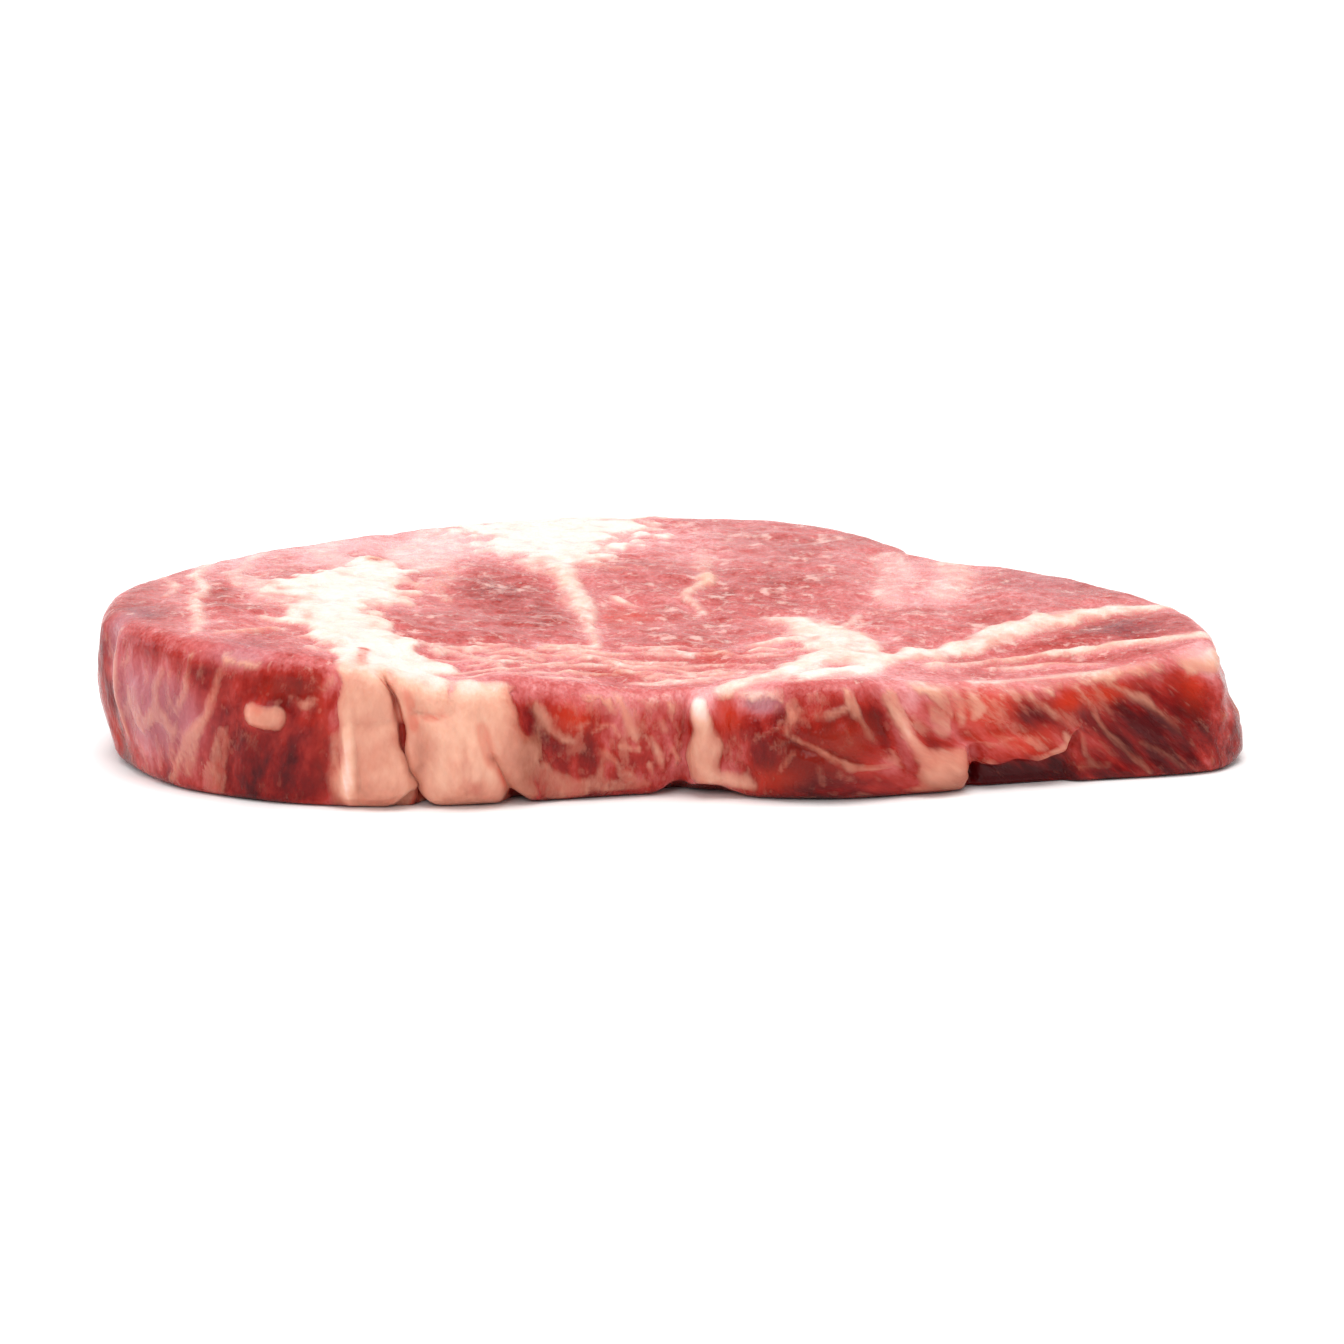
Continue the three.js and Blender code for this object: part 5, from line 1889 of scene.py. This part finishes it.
@dataclass
class Steak:
    """The raw steak, a single piece that stands for its solid.

    Attributes:
        form: Its shape.
        finish: Its material.
        relief: Its fine relief.
        grain_stretch: How many times longer than wide the marbling runs through the slice.
        seed: Seed of its random seams.
        foot_height: Height up to which the edge is painted darker and browner, as shade near the floor.
        rim_depth: Depth below the rim over which the edge's marbling and relief come in.
        fat_depth: Depth below the rim over which the fat takes on the edge's darker tone, which is partly
            painted shade.
        flat_height: Height over which the relief comes in above the floor.
    """

    form: SteakForm = field(default_factory=steak_form)
    finish: RawBeef = RawBeef()
    relief: FineRelief = FineRelief()
    grain_stretch: float = 1.9
    seed: int = 11
    foot_height: float = 7.0
    rim_depth: float = 4.0
    fat_depth: float = 3.6
    flat_height: float = 4.0

    def build(self) -> bpy.types.Object:
        """Mesh, draw and dress the steak.

        Returns:
            The steak's piece, at the origin, in place of its solid.
        """
        skin = SkinBuilder(self.form).build()
        pattern = Pattern(self.form, skin, tone_washes())
        mesh = self._mesh(skin)
        for trait, numbers in self._traits(skin, pattern).items():
            self._carry(mesh, trait, numbers)
        piece = bpy.data.objects.new("steak_meat", mesh)
        bpy.context.scene.collection.objects.link(piece)
        self.relief.apply(piece, self.finish.make())
        piece.data.shade_smooth()
        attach(piece, "root")
        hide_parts("steak")
        return piece

    def _mesh(self, skin: Skin) -> bpy.types.Mesh:
        """Return the skin as a mesh in metres, its box's middle over its solid's.

        Args:
            skin: The skin.

        Returns:
            The mesh.
        """
        low, high = (np.array(corner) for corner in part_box("steak"))
        own_low, own_high = skin.points.min(axis=0) * MM, skin.points.max(axis=0) * MM
        shift = (low + high - own_low - own_high) / 2
        shift[2] = low[2] - own_low[2]
        points = skin.points * MM + shift
        faces = [*skin.quads.tolist(), *skin.triangles.tolist()]
        mesh = bpy.data.meshes.new("steak_meat")
        mesh.from_pydata(points.tolist(), [], faces)
        mesh.validate()
        return mesh

    @staticmethod
    def _carry(mesh: bpy.types.Mesh, trait: Trait, numbers: Floats) -> None:
        """Give the mesh's points one trait.

        Args:
            mesh: The mesh.
            trait: The trait.
            numbers: A number or three for each point.
        """
        if numbers.ndim == 2:
            layer = mesh.attributes.new(trait.value, "FLOAT_VECTOR", "POINT")
            layer.data.foreach_set("vector", numbers.ravel())
        else:
            layer = mesh.attributes.new(trait.value, "FLOAT", "POINT")
            layer.data.foreach_set("value", numbers)

    def _traits(self, skin: Skin, pattern: Pattern) -> dict[Trait, Floats]:
        """Return what each of the skin's points carries.

        Args:
            skin: The skin.
            pattern: The pattern drawn on it.

        Returns:
            The numbers of each trait.
        """
        dark, warm, fleck = pattern.wash_sums()
        wall, fat_wall = pattern.wall_share(), pattern.wall_share(self.fat_depth)
        height = skin.points[:, 2]
        under = skin.face == Face.UNDER
        # Painted shade: the edge's lean and fat darken towards the floor.
        foot = eased(height, self.foot_height, 0.0) * wall
        rim_height = self.form.top_height(*self.form.plain_rim(skin.at).T)
        near_rim = smooth(1.0 - (rim_height - skin.height) / self.rim_depth)
        rim = np.where(skin.face == Face.TOP, eased(skin.out, 0.9, 1.0), near_rim)
        # Painted light: the top's lean is painted paler for the wet sheen on it and the edge's darker for
        # its shade; the underside takes a darker tone like the edge's.
        lean_tone = np.where(under, 0.6, blend(0.35, 0.62, wall))
        # The fat is white on top and darker on the edge, partly its own peach tone and partly painted shade.
        fat_tone = np.where(under, 0.45, blend(1.0, 0.52, fat_wall) - 0.18 * foot)
        relief = eased(height, 0.0, self.flat_height) * blend(1.0, 0.3, rim)
        return {
            Trait.FAT_DEPTH: pattern.depth_in(all_fat(self.form, self.seed)),
            # Painted shade in clefts, creases and the gaps under lifted feet.
            Trait.CLEFT_SHADE: np.maximum(pattern.depth_in(cleft_shade_lines()), pattern.crevice_shade()),
            Trait.LEAN_TONE: lean_tone + 0.36 * dark + 0.08 * foot,
            Trait.WARMTH: warm,
            Trait.FLECKS: blend(0.1, 0.0, wall) - 0.7 * rim + 0.5 * fleck,
            Trait.FAT_TONE: fat_tone - 0.35 * dark,
            Trait.WALL: wall,
            Trait.RELIEF: np.where(under, 0.0, relief),
            Trait.GRAIN: pattern.grain(self.grain_stretch),
        }


# ---- Studio ------------------------------------------------------------------------------------


@dataclass(frozen=True)
class SoftLight:
    """A soft square light.

    Attributes:
        name: Its name.
        place: Where it hangs, in metres.
        side: Length of its side, in metres.
        power: Its power, in watts.
        colour: Its colour.
    """

    name: str
    place: tuple[float, float, float]
    side: float
    power: float
    colour: tuple[float, float, float] = (1.0, 1.0, 1.0)

    def hang(self, target: Vector) -> None:
        """Hang the light, turned to a target.

        Args:
            target: The point that it shines at.
        """
        lamp = bpy.data.lights.new(self.name, "AREA")
        lamp.shape = "SQUARE"
        lamp.size = self.side
        lamp.energy = self.power
        lamp.color = self.colour
        holder = bpy.data.objects.new(self.name, lamp)
        holder.location = self.place
        holder.rotation_euler = (target - holder.location).to_track_quat("-Z", "Y").to_euler()
        bpy.context.scene.collection.objects.link(holder)


@dataclass(frozen=True)
class SoftSky:
    """Wide even light from overhead, which lights the floor alike near and far.

    Attributes:
        name: Its name.
        tilt: How far it leans to the back, in degrees.
        spread: How wide it looks, in degrees.
        strength: Its strength, in watts on a square metre.
    """

    name: str = "overhead_light"
    tilt: float = -8.0
    spread: float = 40.0
    strength: float = 1.71

    def hang(self) -> None:
        """Hang the light."""
        lamp = bpy.data.lights.new(self.name, "SUN")
        lamp.angle = math.radians(self.spread)
        lamp.energy = self.strength
        holder = bpy.data.objects.new(self.name, lamp)
        holder.rotation_euler = (-math.radians(self.tilt), 0.0, 0.0)
        bpy.context.scene.collection.objects.link(holder)


@dataclass(frozen=True)
class Studio:
    """The plain pale floor, the soft light and the camera.

    Attributes:
        target: The point that the camera looks at, in metres.
        distance: The camera's distance from it, in metres.
        elevation: The camera's height over the horizon, in degrees.
        lens: Its focal length, in millimetres.
        floor_side: Length of the floor's side, in metres.
        floor_level: The floor's height, in metres, just under the steak.
        front_surround: Strength of the surrounding light in front and below.
        back_surround: Strength of the surrounding light behind and above.
        sky: The light from overhead.
        lights: The soft lights.
    """

    target: Vector = field(default_factory=lambda: Vector((0.0004, -0.0225, 0.013)))
    distance: float = 0.7
    elevation: float = 13.0
    lens: float = 100.3
    floor_side: float = 16.0
    floor_level: float = -0.0001
    front_surround: float = 0.34
    back_surround: float = 0.95
    sky: SoftSky = SoftSky()
    lights: tuple[SoftLight, ...] = (
        SoftLight("front_light", (-0.25, -0.8, 0.55), 0.3, 1.4),
        SoftLight("left_light", (-0.9, 0.15, 0.3), 0.35, 1.4, (0.92, 0.9, 1.0)),
    )

    def build(self) -> None:
        """Set the camera, the lights, the surround and the floor."""
        self._set_camera()
        self.sky.hang()
        for light in self.lights:
            light.hang(Vector((0.0, 0.0, 0.01)))
        self._set_surround()
        self._lay_floor()
        bpy.context.scene.view_settings.view_transform = "Standard"

    def _set_camera(self) -> None:
        """Set the camera in front of the steak, looking slightly down."""
        rise = math.radians(self.elevation)
        lens = bpy.data.cameras.new("camera")
        lens.lens = self.lens
        lens.sensor_width = 36.0
        lens.clip_start = 0.01
        camera = bpy.data.objects.new("camera", lens)
        camera.location = self.target + self.distance * Vector((0.0, -math.cos(rise), math.sin(rise)))
        camera.rotation_euler = (math.pi / 2 - rise, 0.0, 0.0)
        bpy.context.scene.collection.objects.link(camera)
        bpy.context.scene.camera = camera

    def _set_surround(self) -> None:
        """Surround the scene with white light that is dimmer in front than behind."""
        world = bpy.data.worlds.new("surround")
        world.use_nodes = True
        world.node_tree.nodes.clear()
        bench = Bench(world.node_tree)
        direction = bench.node("ShaderNodeTexCoord").outputs["Generated"]
        parts = bench.node("ShaderNodeSeparateXYZ", None, {0: direction})
        behind = (Value(bench, parts.outputs["Y"]) + Value(bench, parts.outputs["Z"])).step(-0.9, 0.7)
        strength = behind * (self.back_surround - self.front_surround) + self.front_surround
        feeds = {"Color": (1.0, 1.0, 1.0, 1.0), "Strength": strength}
        glow = bench.node("ShaderNodeBackground", None, feeds)
        bench.node("ShaderNodeOutputWorld", None, {"Surface": glow.outputs[0]})
        bpy.context.scene.world = world

    def _lay_floor(self) -> None:
        """Lay the floor just under the steak."""
        half, level = self.floor_side / 2, self.floor_level
        corners = [(-half, -half, level), (half, -half, level), (half, half, level), (-half, half, level)]
        mesh = bpy.data.meshes.new("floor")
        mesh.from_pydata(corners, [], [(0, 1, 2, 3)])
        mesh.materials.append(PaleFloor().make())
        floor = bpy.data.objects.new("floor", mesh)
        bpy.context.scene.collection.objects.link(floor)


# ---- Scene -------------------------------------------------------------------------------------


def main() -> None:
    """Load the frame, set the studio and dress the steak."""
    logging.basicConfig(level=logging.INFO, format="%(message)s")
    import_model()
    Studio().build()
    steak = Steak().build()
    LOG.info("%s: %d points, %d faces", steak.name, len(steak.data.vertices), len(steak.data.polygons))


if __name__ == "__main__":
    main()
